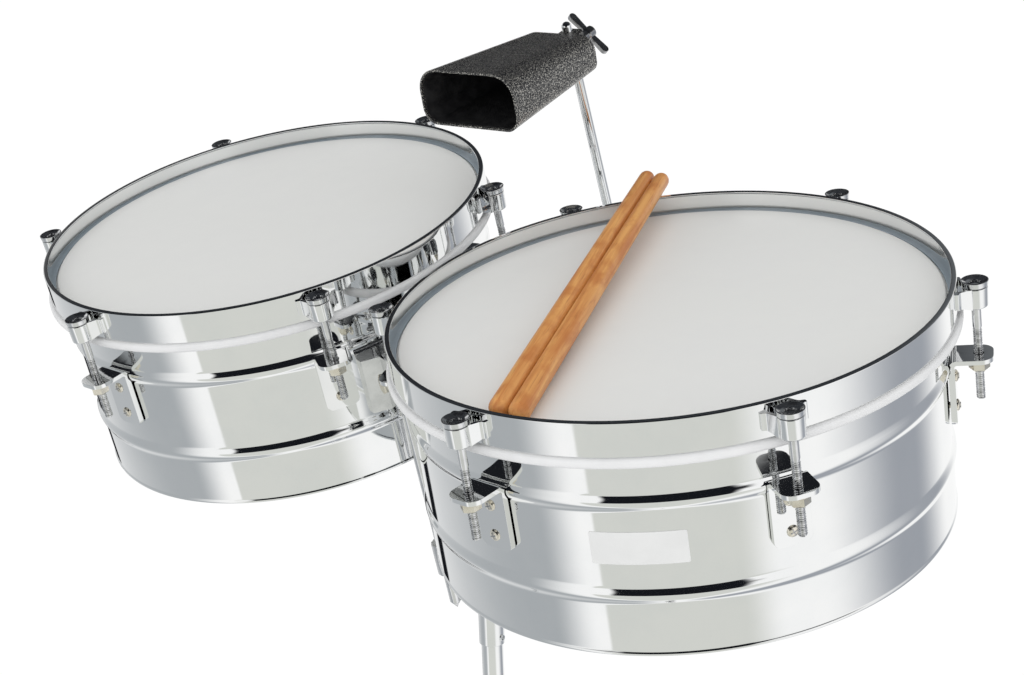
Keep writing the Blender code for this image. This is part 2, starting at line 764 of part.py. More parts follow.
def brace_mesh():
    """A flat brace along -Z from its pin on the leg."""
    half = BRACE_WIDTH / 2
    outline = [*arc(half, 0, 180, 7), *arc(half, 180, 360, 7, (0, -BRACE_LENGTH))]
    hole = ring_of(BRACE_PIN_RADIUS + CLEARANCE, BOLT_SIDES)
    return plate(outline, brace_plane(), brace_plane() + BRACE_SHEET, (hole,), across_y())


def collar_height():
    """Braces as long as the leg above their pins bring the collar straight below the pivots."""
    return LEG_PIVOT_HEIGHT - 2 * BRACE_LENGTH * math.cos(leg_slope())


def brace_collar_mesh():
    """The sliding collar: a ring with a lug beside the end of each brace."""
    inside = LOWER_TUBE_RADIUS + CLEARANCE
    low = collar_height() - COLLAR_HALF_HEIGHT
    high = collar_height() + COLLAR_HALF_HEIGHT
    lugs = []
    for i in range(LEG_COUNT):
        face = brace_plane() - CLEARANCE
        corner = (0.9 * math.sqrt(COLLAR_RADIUS**2 - face**2), face - CLEVIS_WALL, low + CLEVIS_WALL / 2)
        far = (LEG_PIVOT_RADIUS + BRACE_WIDTH / 2, face, high - CLEVIS_WALL / 2)
        lugs.append(box(corner, far, Matrix.Rotation(leg_angle(i), 4, "Z")))
    ring = turned(((inside, low), (COLLAR_RADIUS, low), (COLLAR_RADIUS, high), (inside, high)), ROUND_SIDES)
    hole = bore(BOLT_RADIUS + CLEARANCE, 0, 2 * COLLAR_RADIUS,
                matrix=Matrix.Translation((0, 0, collar_height())) @ bolt_direction())
    return cut(united(ring, *lugs), hole)


def foot_mesh():
    """A rubber foot on the leg's end, cut flat on the floor."""
    length = leg_length()
    socket = LEG_RADIUS + CLEARANCE
    profile = (
        (socket, FOOT_LENGTH - length),
        (0.85 * FOOT_RADIUS, FOOT_LENGTH - length),
        (FOOT_RADIUS, 0.6 * FOOT_LENGTH - length),
        (FOOT_RADIUS, -FOOT_SOLE - length),
        (0, -FOOT_SOLE - length),
        (0, FOOT_SOLE - length - CLEARANCE),
        (socket, FOOT_SOLE - length - CLEARANCE),
    )
    shape = bmesh.new()
    shape.from_mesh(turned(profile[4:0:-1] + profile[:1] + profile[:4:-1], ROUND_SIDES))
    floor = Vector((math.sin(leg_slope()), 0, math.cos(leg_slope())))
    whole = shape.verts[:] + shape.edges[:] + shape.faces[:]
    bmesh.ops.bisect_plane(shape, geom=whole, plane_co=(0, 0, -length), plane_no=-floor, clear_outer=True)
    edges = [edge for edge in shape.edges if edge.is_boundary]
    bmesh.ops.edgeloop_fill(shape, edges=edges)
    return finished(shape)


def cowbell_clamp_mesh():
    """A collar on the sleeve with a sloping socket block for the cowbell's arm."""
    inside = (SLEEVE_RADIUS + CLEARANCE) / math.cos(math.pi / ROUND_SIDES)
    low = CLAMP_HEIGHT - CLAMP_HALF_HEIGHT
    high = CLAMP_HEIGHT + CLAMP_HALF_HEIGHT
    ring = turned(((inside, low), (CLAMP_RADIUS, low), (CLAMP_RADIUS, high), (inside, high)), ROUND_SIDES)
    start = 0.5 * (inside + CLAMP_RADIUS) - EYE_BACK
    block = box((-EYE_HALF, start, -EYE_HALF), (EYE_HALF, EYE_DEPTH, EYE_HALF), arm_matrix())
    socket = bore(ARM_RADIUS + CLEARANCE, 0, 2 * EYE_DEPTH, arm_matrix() @ along_y())
    hole = bore(BOLT_RADIUS + CLEARANCE, 0, 2 * EYE_HALF, arm_matrix() @ arm_bolt_place())
    return cut(united(ring, block), socket, hole)


def arm_bolt_place():
    """The arm's wing bolt crosses the socket from +X."""
    return Matrix.Translation((0, EYE_DEPTH / 2, 0)) @ along_x()


def arm_matrix():
    """The arm's frame: in the socket's bottom, with Y along the socket."""
    return Matrix.Translation((0, EYE_BACK, CLAMP_HEIGHT)) @ Matrix.Rotation(ARM_TILT, 4, "X")


def cowbell_arm_mesh():
    """A bar bent square: back from the socket, then up to the bell."""
    bend = arc(ARM_BEND_RADIUS, -90, 0, 6, (ARM_REACH - ARM_BEND_RADIUS, ARM_BEND_RADIUS))
    path = [(CLEARANCE, 0.0), *bend, (ARM_REACH, ARM_RISE)]
    turns = [0.0, *[math.radians(90 * i / 5) for i in range(6)], math.pi / 2]
    shape = bmesh.new()
    rings = []
    for (y, z), turn in zip(path, turns):
        ring = []
        for i in range(ROUND_SIDES):
            angle = 2 * math.pi * i / ROUND_SIDES
            across = ARM_RADIUS * math.sin(angle)
            ring.append(shape.verts.new((ARM_RADIUS * math.cos(angle), y - across * math.sin(turn),
                                         z + across * math.cos(turn))))
        rings.append(ring)
    skin_rings(shape, rings, closed=False)
    shape.faces.new(rings[0])
    shape.faces.new(rings[-1])
    return finished(shape)


def bell_section(width, height, wall, y):
    """A section across the bell's axis, inside its wall: rounder at the top than below."""
    points = []
    for i, (sx, sz) in enumerate(((1, 1), (-1, 1), (-1, -1), (1, -1))):
        corner = BELL_CROWN if sz > 0 else BELL_CORNER
        centre = (sx * (width / 2 - corner), sz * (height / 2 - corner))
        points += arc(corner - wall, 90 * i, 90 * i + 90, 5, centre)
    return [(x, y, z) for x, z in points]


def cowbell_mesh():
    """The folded bell, open at its mouth, with the clamping eye on its closed end."""
    back = -BELL_EYE_HALF
    mouth = back - BELL_LENGTH
    sections = (
        bell_section(BELL_END_WIDTH, BELL_END_HEIGHT, 0, back),
        bell_section(BELL_MOUTH_WIDTH, BELL_MOUTH_HEIGHT, 0, mouth),
        bell_section(BELL_MOUTH_WIDTH, BELL_MOUTH_HEIGHT, BELL_WALL, mouth),
        bell_section(BELL_END_WIDTH, BELL_END_HEIGHT, BELL_WALL, back - BELL_WALL),
    )
    shape = bmesh.new()
    rings = [[shape.verts.new(point) for point in section] for section in sections]
    skin_rings(shape, rings, closed=False)
    shape.faces.new(rings[0])
    shape.faces.new(rings[-1])
    bell = finished(shape, Matrix.Rotation(-BELL_DROOP, 4, "X"))
    reach = BELL_EYE_HALF + BELL_WALL / 2
    eye = box((-BELL_EYE_HALF, -reach, -BELL_EYE_HALF), (BELL_EYE_HALF, BELL_EYE_HALF, BELL_EYE_HALF))
    hole = bore(ARM_RADIUS + CLEARANCE, -BELL_LENGTH, BELL_LENGTH)
    screw = bore(BOLT_RADIUS + CLEARANCE, 0, 2 * BELL_EYE_HALF, matrix=along_y())
    return united(bell, cut(eye, hole, screw))


def stick_mesh():
    """A stick along Z with rounded ends, a little thinner at its tip."""
    profile = (
        (0, 0),
        (0.7 * STICK_BUTT_RADIUS, 0.2 * STICK_END),
        (STICK_BUTT_RADIUS, STICK_END),
        (STICK_TIP_RADIUS, STICK_LENGTH - STICK_END),
        (0.7 * STICK_TIP_RADIUS, STICK_LENGTH - 0.2 * STICK_END),
        (0, STICK_LENGTH),
    )
    return turned(profile, BOLT_SIDES)


def build_drum(drum, root):
    """One drum on its tilting arm."""
    hinge = anchor(f"{drum.name}_tilt_axis", root, (0, -HINGE_FORWARD, HINGE_HEIGHT), (drum.tilt, 0, 0))
    piece(f"tilt_arm_{drum.name}", tilt_arm_mesh(drum), STEEL, hinge)
    rim = (drum.side * drum.centre_offset, drum.axis_behind_hinge, drum.rim_above_hinge)
    body = anchor(f"{drum.name}_drum_rim", hinge, rim)
    piece(f"shell_{drum.name}", shell_mesh(drum), CHROME, body)
    piece(f"head_{drum.name}", head_mesh(drum), FILM_WHITE, body)
    piece(f"hoop_{drum.name}", hoop_mesh(drum), CHROME, body)
    bracket = lug_bracket_mesh(drum)
    tension_rod = tension_rod_mesh()
    for i in range(LUG_COUNT):
        angle = drum.first_lug + 2 * math.pi * i / LUG_COUNT
        place = (drum.lug_circle * math.cos(angle), drum.lug_circle * math.sin(angle), 0)
        piece(f"lug_bracket_{drum.name}_{i + 1}", bracket, CHROME, body, place, (0, 0, angle))
        piece(f"tension_rod_{drum.name}_{i + 1}", tension_rod, STEEL, body, place, (0, 0, angle))
    x, y = drum.mount_place
    mount = anchor(f"{drum.name}_mount", body, (x, y, -mount_drop()), (0, 0, math.atan2(y, x)))
    piece(f"mount_bracket_{drum.name}", mount_bracket_mesh(drum), STEEL, mount)
    piece(f"key_bolt_{drum.name}", key_bolt_mesh(), NICKEL, mount, rotation=(-drum.side * math.pi / 2, 0, 0))
    return body


def build_sticks(body, drum):
    """Two sticks side by side that lie on the film and over the far side of the rim."""
    ring = drum.radius + HOOP_PROUD - HOOP_WALL / 2
    taper = (STICK_BUTT_RADIUS - STICK_TIP_RADIUS) / STICK_LENGTH
    for i in range(STICK_COUNT):
        x = STICK_BUTT_SIDE + i * STICK_SPACING
        y = i * STICK_STAGGER - STICK_BUTT_FRONT
        yaw = STICK_YAW + 2 * i * taper
        heading = Vector((-math.sin(yaw), math.cos(yaw)))
        along = -heading.dot((x, y))
        run = along + math.sqrt(along**2 + ring**2 - x**2 - y**2)
        pitch = math.atan2(FILM_DROP, run) - taper
        turn = Matrix.Rotation(yaw, 4, "Z") @ Matrix.Rotation(pitch - math.pi / 2, 4, "X")
        height = STICK_BUTT_RADIUS / math.cos(pitch) + CLEARANCE - FILM_DROP
        piece(f"stick_{i + 1}", stick_mesh(), WOOD, body, (x, y, height), turn.to_euler())


def build_stand(root):
    """The stand's head, its tubes and the folding tripod."""
    piece("head_sleeve", head_sleeve_mesh(), CHROME, root)
    reach = TONGUE_THICKNESS / 2 + CLEARANCE + TILTER_THICKNESS
    tilt_bolt = wing_bolt_mesh(-reach, reach, TILT_BOLT_NECK)
    piece("tilt_wing_bolt", tilt_bolt, STEEL, root, (0, -HINGE_FORWARD, HINGE_HEIGHT), (0, -math.pi / 2, 0))
    inside = UPPER_TUBE_RADIUS - UPPER_TUBE_WALL
    upper_top = SLEEVE_TOP - SLEEVE_CAP - CLEARANCE
    upper = tube_mesh(UPPER_TUBE_RADIUS, inside, UPPER_TUBE_BOTTOM, upper_top)
    piece("upper_tube", upper, CHROME, root)
    inside = UPPER_TUBE_RADIUS + CLEARANCE
    lower = tube_mesh(LOWER_TUBE_RADIUS, inside, LOWER_TUBE_BOTTOM, LOWER_TUBE_TOP)
    piece("lower_tube", lower, CHROME, root)
    piece("leg_hub", leg_hub_mesh(), CHROME, root)
    front = bolt_direction().to_euler()
    height_bolt = wing_bolt_mesh(UPPER_TUBE_RADIUS + CLEARANCE, HUB_RADIUS)
    height = LOWER_TUBE_TOP + CLEARANCE + HUB_NECK / 2
    piece("height_wing_bolt", height_bolt, STEEL, root, (0, 0, height), front)
    piece("brace_collar", brace_collar_mesh(), CHROME, root)
    collar_bolt = wing_bolt_mesh(LOWER_TUBE_RADIUS + CLEARANCE, COLLAR_RADIUS, reach=COLLAR_WING_REACH)
    piece("collar_wing_bolt", collar_bolt, STEEL, root, (0, 0, collar_height()), front)
    leg, brace, foot = leg_mesh(), brace_mesh(), foot_mesh()
    for i in range(LEG_COUNT):
        angle = leg_angle(i)
        pivot = (LEG_PIVOT_RADIUS * math.cos(angle), LEG_PIVOT_RADIUS * math.sin(angle), LEG_PIVOT_HEIGHT)
        limb = anchor(f"leg_pivot_{i + 1}", root, pivot, (0, -leg_slope(), angle))
        piece(f"leg_{i + 1}", leg, CHROME, limb)
        piece(f"foot_{i + 1}", foot, RUBBER, limb)
        piece(f"brace_{i + 1}", brace, CHROME, limb, (0, 0, -BRACE_LENGTH), (0, 2 * leg_slope(), 0))


def build_cowbell(root):
    """The cowbell on its bent arm, clamped to the stand's head."""
    piece("cowbell_clamp", cowbell_clamp_mesh(), STEEL, root)
    socket = anchor("cowbell_arm_socket", root, arm_matrix().to_translation(), (ARM_TILT, 0, 0))
    piece("cowbell_arm", cowbell_arm_mesh(), CHROME, socket)
    arm_bolt = wing_bolt_mesh(ARM_RADIUS + CLEARANCE, EYE_HALF)
    place = arm_bolt_place()
    piece("cowbell_arm_bolt", arm_bolt, STEEL, socket, place.to_translation(), place.to_euler())
    swivel = anchor("cowbell_swivel", socket, (0, ARM_REACH, ARM_RISE - BELL_BELOW_TIP))
    piece("cowbell", cowbell_mesh(), BELL_BLACK, swivel)
    turn = along_y() @ Matrix.Rotation(BELL_BOLT_TURN, 4, "Z")
    piece("cowbell_wing_bolt", bar_bolt_mesh(), DARK_STEEL, swivel, rotation=turn.to_euler())


def centre_on_floor(root):
    """Move the whole so that its bounding box stands centred on the origin."""
    bpy.context.view_layer.update()
    points = []
    for item in bpy.data.objects:
        if item.type == "MESH":
            points += [item.matrix_world @ vertex.co for vertex in item.data.vertices]
    low = Vector(min(point[axis] for point in points) for axis in range(3))
    high = Vector(max(point[axis] for point in points) for axis in range(3))
    root.location -= Vector(((low.x + high.x) / 2, (low.y + high.y) / 2, low.z))


def main():
    """Build the timbales."""
    clear_scene()
    root = anchor("post_foot")
    build_stand(root)
    large_body = build_drum(LARGE, root)
    build_drum(SMALL, root)
    build_sticks(large_body, LARGE)
    build_cowbell(root)
    centre_on_floor(root)


main()
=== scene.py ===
"""The look of a pair of timbales on a folding stand, with a cowbell and two sticks.

Metres, +Z up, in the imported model's own frame. The player stands on the -Y side and the large drum is on +X.
Each sub-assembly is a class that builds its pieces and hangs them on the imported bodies.
"""

import json
import logging
import math
from collections.abc import Callable, Sequence
from dataclasses import dataclass
from enum import Enum

import bmesh
import bpy
from mathutils import Matrix, Vector

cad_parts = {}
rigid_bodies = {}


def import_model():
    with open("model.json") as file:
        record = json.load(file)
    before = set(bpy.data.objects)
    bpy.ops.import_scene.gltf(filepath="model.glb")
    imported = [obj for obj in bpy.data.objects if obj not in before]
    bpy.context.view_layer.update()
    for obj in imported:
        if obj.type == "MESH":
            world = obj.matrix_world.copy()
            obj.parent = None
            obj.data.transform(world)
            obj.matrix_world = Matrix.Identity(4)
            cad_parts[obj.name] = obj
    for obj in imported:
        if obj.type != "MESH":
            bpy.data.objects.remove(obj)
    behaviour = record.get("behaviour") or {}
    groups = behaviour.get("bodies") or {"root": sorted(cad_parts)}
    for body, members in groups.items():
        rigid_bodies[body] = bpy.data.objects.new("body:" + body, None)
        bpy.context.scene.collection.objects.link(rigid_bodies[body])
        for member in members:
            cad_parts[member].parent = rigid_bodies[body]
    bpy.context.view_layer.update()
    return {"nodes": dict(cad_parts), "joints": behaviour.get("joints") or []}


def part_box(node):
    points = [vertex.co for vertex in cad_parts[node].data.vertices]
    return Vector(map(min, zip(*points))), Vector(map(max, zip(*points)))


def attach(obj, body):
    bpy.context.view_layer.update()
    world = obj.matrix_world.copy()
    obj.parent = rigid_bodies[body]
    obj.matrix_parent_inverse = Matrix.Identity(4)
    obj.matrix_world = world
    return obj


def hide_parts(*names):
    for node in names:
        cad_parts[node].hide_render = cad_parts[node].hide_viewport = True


for leftover in list(bpy.data.objects):
    bpy.data.objects.remove(leftover, do_unlink=True)
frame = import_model()
LOG = logging.getLogger("timbales")

CLEARANCE = 0.0003
DRUM_SEGMENTS = 192
ROUND_SEGMENTS = 40
SMALL_SEGMENTS = 24
HEXAGON = 6
ARC_STEPS = 8

# Edges sharper than these angles, in degrees, stay sharp
ROUND_CREASE = 35.0
FOLDED_CREASE = 50.0
HEXAGON_CREASE = 20.0

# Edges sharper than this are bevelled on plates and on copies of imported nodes
CUT_CREASE = 40.0

# Radii of rounded corners and widths of softened edges, from the sharpest to the broadest
HAIR = 0.0002
CRISP = 0.0003
KEEN = 0.0004
FINE = 0.0005
EASED = 0.0006
SOFT = 0.0008
PLUMP = 0.0009
ROUND = 0.0010
BROAD = 0.0012


class Slot(Enum):
    """The record's material slots."""

    CHROME = "chrome"
    STEEL = "steel"
    NICKEL = "nickel"
    FILM = "film"
    BELL_PAINT = "bell_paint"
    DARK_STEEL = "dark_steel"
    WOOD = "wood"
    RUBBER = "rubber"


# Nodes and geometry trees


class NodeBench:
    """Adds nodes to one tree and links them as they are added."""

    def __init__(self, tree: bpy.types.NodeTree) -> None:
        """Keep the tree that nodes go into."""
        self.tree = tree

    def add(self, kind: str, inputs: dict | None = None, **settings: object) -> bpy.types.Node:
        """Add a node.

        Args:
            kind: The node's type name.
            inputs: Values or output sockets, by input name or number.
            settings: The node's own properties.

        Returns:
            The new node.
        """
        columns, width, height = 12, 190, 220
        node = self.tree.nodes.new(kind)
        row, column = divmod(len(self.tree.nodes), columns)
        node.location = (width * column, -height * row)
        for name, value in settings.items():
            setattr(node, name, value)
        self.feed(node, inputs or {})
        return node

    def feed(self, node: bpy.types.Node, inputs: dict) -> None:
        """Set a node's inputs, or link them.

        Args:
            node: The node.
            inputs: Values or output sockets, by input name or number.
        """
        for key, value in inputs.items():
            if isinstance(value, bpy.types.NodeSocket):
                self.tree.links.new(value, node.inputs[key])
            else:
                node.inputs[key].default_value = value

    def sum(self, operation: str, *values: object) -> bpy.types.NodeSocket:
        """One Math node on these values.

        Args:
            operation: The Math node's operation.
            values: Numbers or output sockets, in order.

        Returns:
            The node's output.
        """
        return self.add("ShaderNodeMath", dict(enumerate(values)), operation=operation).outputs[0]

    def ramp(self, value: object, low: object, high: object, to_low: object = 0.0, to_high: object = 1.0,
             interpolation: str = "LINEAR") -> bpy.types.NodeSocket:
        """Map a value from one range to another.

        Args:
            value: The value to map.
            low: Where the first range starts.
            high: Where it ends.
            to_low: Where the second range starts.
            to_high: Where it ends.
            interpolation: The Map Range node's interpolation.

        Returns:
            The mapped value.
        """
        inputs = {"Value": value, "From Min": low, "From Max": high, "To Min": to_low, "To Max": to_high}
        return self.add("ShaderNodeMapRange", inputs, interpolation_type=interpolation).outputs["Result"]

    def blend(self, share: object, first: object, second: object) -> bpy.types.NodeSocket:
        """Mix two colours.

        Args:
            share: How much of the second colour there is.
            first: The first colour.
            second: The second colour.

        Returns:
            The mixed colour.
        """
        # The Mix node has a socket of each name for every type of data, so its sockets go by number
        factor, colour_a, colour_b, colour = 0, 6, 7, 2
        node = self.add("ShaderNodeMix", data_type="RGBA")
        self.feed(node, {factor: share, colour_a: first, colour_b: second})
        return node.outputs[colour]

    def dressed(self, geometry: bpy.types.NodeSocket, material: bpy.types.NodeSocket) -> bpy.types.NodeTree:
        """End a geometry tree with real faces in their material.

        Args:
            geometry: What the tree has made.
            material: The material.

        Returns:
            The tree.
        """
        whole = self.add("GeometryNodeRealizeInstances", {"Geometry": geometry})
        faces = self.add("GeometryNodeSetMaterial", {"Geometry": whole.outputs[0], "Material": material})
        self.add("NodeGroupOutput", {"Geometry": faces.outputs[0]})
        return self.tree


def new_tree(name: str, kind: str, inputs: dict[str, str], outputs: dict[str, str]) -> NodeBench:
    """Start a node group.

    Args:
        name: The group's name.
        kind: ShaderNodeTree or GeometryNodeTree.
        inputs: Socket types by name.
        outputs: Socket types by name.

    Returns:
        A bench on the new group.
    """
    tree = bpy.data.node_groups.new(name, kind)
    for direction, sockets in (("INPUT", inputs), ("OUTPUT", outputs)):
        for socket, socket_kind in sockets.items():
            tree.interface.new_socket(socket, in_out=direction, socket_type=socket_kind)
    return NodeBench(tree)


def kept_tree(name: str, build: Callable[[], bpy.types.NodeTree]) -> bpy.types.NodeTree:
    """A node group that is built once.

    Args:
        name: The group's name.
        build: Builds it the first time.

    Returns:
        The group.
    """
    return bpy.data.node_groups.get(name) or build()


def handling_marks_tree() -> bpy.types.NodeTree:
    """A shader group: cloudy marks of handling over a surface.

    Returns:
        The group, which turns a scale and two ends into a value between them and a mask.
    """
    cloud_low, cloud_high = 0.36, 0.68
    floats = "NodeSocketFloat"
    bench = new_tree("Handling marks", "ShaderNodeTree", {"Scale": floats, "Low": floats, "High": floats},
                     {"Value": floats, "Mask": floats})
    given = bench.add("NodeGroupInput").outputs
    place = bench.add("ShaderNodeTexCoord").outputs["Object"]
    clouds = bench.add("ShaderNodeTexNoise", {"Vector": place, "Scale": given["Scale"], "Detail": 5.0,
                                              "Roughness": 0.62})
    mask = bench.ramp(clouds.outputs[0], cloud_low, cloud_high, interpolation="SMOOTHSTEP")
    value = bench.ramp(mask, 0.0, 1.0, given["Low"], given["High"])
    bench.add("NodeGroupOutput", {"Value": value, "Mask": mask})
    return bench.tree


def fine_relief_tree() -> bpy.types.NodeTree:
    """A shader group: a fine uneven skin.

    Returns:
        The group, which turns a scale and a height into a normal.
    """
    floats = "NodeSocketFloat"
    bench = new_tree("Fine relief", "ShaderNodeTree", {"Scale": floats, "Height": floats},
                     {"Normal": "NodeSocketVector"})
    given = bench.add("NodeGroupInput").outputs
    place = bench.add("ShaderNodeTexCoord").outputs["Object"]
    skin = bench.add("ShaderNodeTexNoise", {"Vector": place, "Scale": given["Scale"], "Detail": 2.0})
    bump = bench.add("ShaderNodeBump", {"Strength": 1.0, "Distance": given["Height"],
                                        "Height": skin.outputs[0]})
    bench.add("NodeGroupOutput", {"Normal": bump.outputs[0]})
    return bench.tree


def soft_panel_tree() -> bpy.types.NodeTree:
    """A shader group: where a studio panel stands, seen by direction.

    Returns:
        The group, which turns a direction and the panel's edges, in degrees, into a mask.
    """
    floats = "NodeSocketFloat"
    names = ["Azimuth", "Elevation", "Middle"]
    names += [f"{side} {i}" for side in ("Across", "Up") for i in range(4)]
    bench = new_tree("Soft panel", "ShaderNodeTree", dict.fromkeys(names, floats), {"Mask": floats})
    given = bench.add("NodeGroupInput").outputs
    across = bench.sum("WRAP", bench.sum("SUBTRACT", given["Azimuth"], given["Middle"]), 180.0, -180.0)
    mask = None
    for value, side in ((across, "Across"), (given["Elevation"], "Up")):
        enter = bench.ramp(value, given[f"{side} 0"], given[f"{side} 1"], interpolation="SMOOTHSTEP")
        leave = bench.ramp(value, given[f"{side} 2"], given[f"{side} 3"], 1.0, 0.0, "SMOOTHSTEP")
        inside = bench.sum("MULTIPLY", enter, leave)
        mask = inside if mask is None else bench.sum("MULTIPLY", mask, inside)
    bench.add("NodeGroupOutput", {"Mask": mask})
    return bench.tree


def lug_circle_tree() -> bpy.types.NodeTree:
    """A geometry tree: copies of a shape round a drum, each turned to face out.

    Returns:
        The tree, with the count, the circle's radius, the first angle and the material as inputs.
    """
    geometry = "NodeSocketGeometry"
    inputs = {"Geometry": geometry, "Count": "NodeSocketInt", "Radius": "NodeSocketFloat",
              "First Angle": "NodeSocketFloat", "Material": "NodeSocketMaterial"}
    bench = new_tree("Lug circle", "GeometryNodeTree", inputs, {"Geometry": geometry})
    given = bench.add("NodeGroupInput").outputs
    step = bench.sum("DIVIDE", math.tau, given["Count"])
    index = bench.add("GeometryNodeInputIndex").outputs[0]
    angle = bench.sum("MULTIPLY_ADD", index, step, given["First Angle"])
    place = bench.add("ShaderNodeCombineXYZ", {
        "X": bench.sum("MULTIPLY", bench.sum("COSINE", angle), given["Radius"]),
        "Y": bench.sum("MULTIPLY", bench.sum("SINE", angle), given["Radius"])})
    points = bench.add("GeometryNodePoints", {"Count": given["Count"], "Position": place.outputs[0]})
    euler = bench.add("ShaderNodeCombineXYZ", {"Z": angle})
    turn = bench.add("FunctionNodeEulerToRotation", {0: euler.outputs[0]})
    copies = bench.add("GeometryNodeInstanceOnPoints", {
        "Points": points.outputs[0], "Instance": given["Geometry"], "Rotation": turn.outputs[0]})
    return bench.dressed(copies.outputs[0], given["Material"])


def thread_tree() -> bpy.types.NodeTree:
    """A geometry tree: a screw thread's ridge, wound up along Z.

    Returns:
        The tree, with the root radius, ridge, pitch, length and material as inputs.
    """
    points_per_turn, ridge_sides = 14, 3
    floats = "NodeSocketFloat"
    inputs = {"Geometry": "NodeSocketGeometry", "Radius": floats, "Ridge": floats, "Pitch": floats,
              "Length": floats, "Material": "NodeSocketMaterial"}
    bench = new_tree("Screw thread", "GeometryNodeTree", inputs, {"Geometry": "NodeSocketGeometry"})
    given = bench.add("NodeGroupInput").outputs
    turns = bench.sum("DIVIDE", given["Length"], given["Pitch"])
    helix = bench.add("GeometryNodeCurveSpiral", {
        "Resolution": points_per_turn, "Rotations": turns, "Start Radius": given["Radius"],
        "End Radius": given["Radius"], "Height": given["Length"]})
    ridge = bench.add("GeometryNodeCurvePrimitiveCircle", {"Resolution": ridge_sides,
                                                           "Radius": given["Ridge"]})
    wound = bench.add("GeometryNodeCurveToMesh", {
        "Curve": helix.outputs[0], "Profile Curve": ridge.outputs[0], "Fill Caps": True})
    return bench.dressed(wound.outputs[0], given["Material"])


def grown(mesh: bpy.types.Mesh, tree: bpy.types.NodeTree, values: dict[str, object]) -> bpy.types.Mesh:
    """Run a geometry tree on a mesh.

    Args:
        mesh: What goes into the tree.
        tree: The geometry tree.
        values: The tree's other inputs, by name.

    Returns:
        The result as a plain mesh.
    """
    item = bpy.data.objects.new("grown", mesh)
    bpy.context.scene.collection.objects.link(item)
    step = item.modifiers.new("grow", "NODES")
    step.node_group = tree
    for socket in tree.interface.items_tree:
        if socket.item_type == "SOCKET" and socket.in_out == "INPUT" and socket.name in values:
            step[socket.identifier] = values[socket.name]
    graph = bpy.context.evaluated_depsgraph_get()
    result = bpy.data.meshes.new_from_object(item.evaluated_get(graph))
    bpy.data.objects.remove(item, do_unlink=True)
    return result


# Finishes


def opaque(colour: Sequence[float]) -> tuple[float, ...]:
    """A colour with full alpha."""
    return (*colour, 1.0)


@dataclass(frozen=True)
class Finish:
    """A named finish for one of the record's slots."""

    name: str
    slot: Slot

    def material(self) -> bpy.types.Material:
        """The finish as a material, built the first time."""
        return bpy.data.materials.get(self.name) or self.build()

    def build(self) -> bpy.types.Material:
        """Build the material.

        Returns:
            The material, with the colour, roughness and other inputs that this kind of finish gives.
        """
        material = bpy.data.materials.new(self.name)
        material.use_nodes = True
        bench = NodeBench(material.node_tree)
        bench.feed(material.node_tree.nodes["Principled BSDF"], self.inputs(bench))
        return material

    def inputs(self, bench: NodeBench) -> dict[str, object]:
        """What goes into the Principled shader.

        Args:
            bench: The bench on the material's tree.

        Returns:
            Values or output sockets, by input name.
        """
        raise NotImplementedError


@dataclass(frozen=True)
class MarkedFinish(Finish):
    """Metal, film or a moulded surface with cloudy marks of handling and a fine skin."""

    colour: tuple[float, float, float]
    worn: tuple[float, float, float]
    smooth: float
    dull: float
    marks_scale: float = 22.0
    relief_scale: float = 90.0
    relief_height: float = 0.000004
    metallic: float = 0.0

    def inputs(self, bench: NodeBench) -> dict[str, object]:
        """Tint and roughness that follow the marks, over a fine relief.

        Args:
            bench: The bench on the material's tree.

        Returns:
            Values or output sockets, by input name.
        """
        marks = bench.add("ShaderNodeGroup", node_tree=kept_tree("Handling marks", handling_marks_tree))
        bench.feed(marks, {"Scale": self.marks_scale, "Low": self.smooth, "High": self.dull})
        relief = bench.add("ShaderNodeGroup", node_tree=kept_tree("Fine relief", fine_relief_tree))
        bench.feed(relief, {"Scale": self.relief_scale, "Height": self.relief_height})
        tint = bench.blend(marks.outputs["Mask"], opaque(self.colour), opaque(self.worn))
        return {"Base Color": tint, "Roughness": marks.outputs["Value"],
                "Normal": relief.outputs["Normal"], "Metallic": self.metallic}


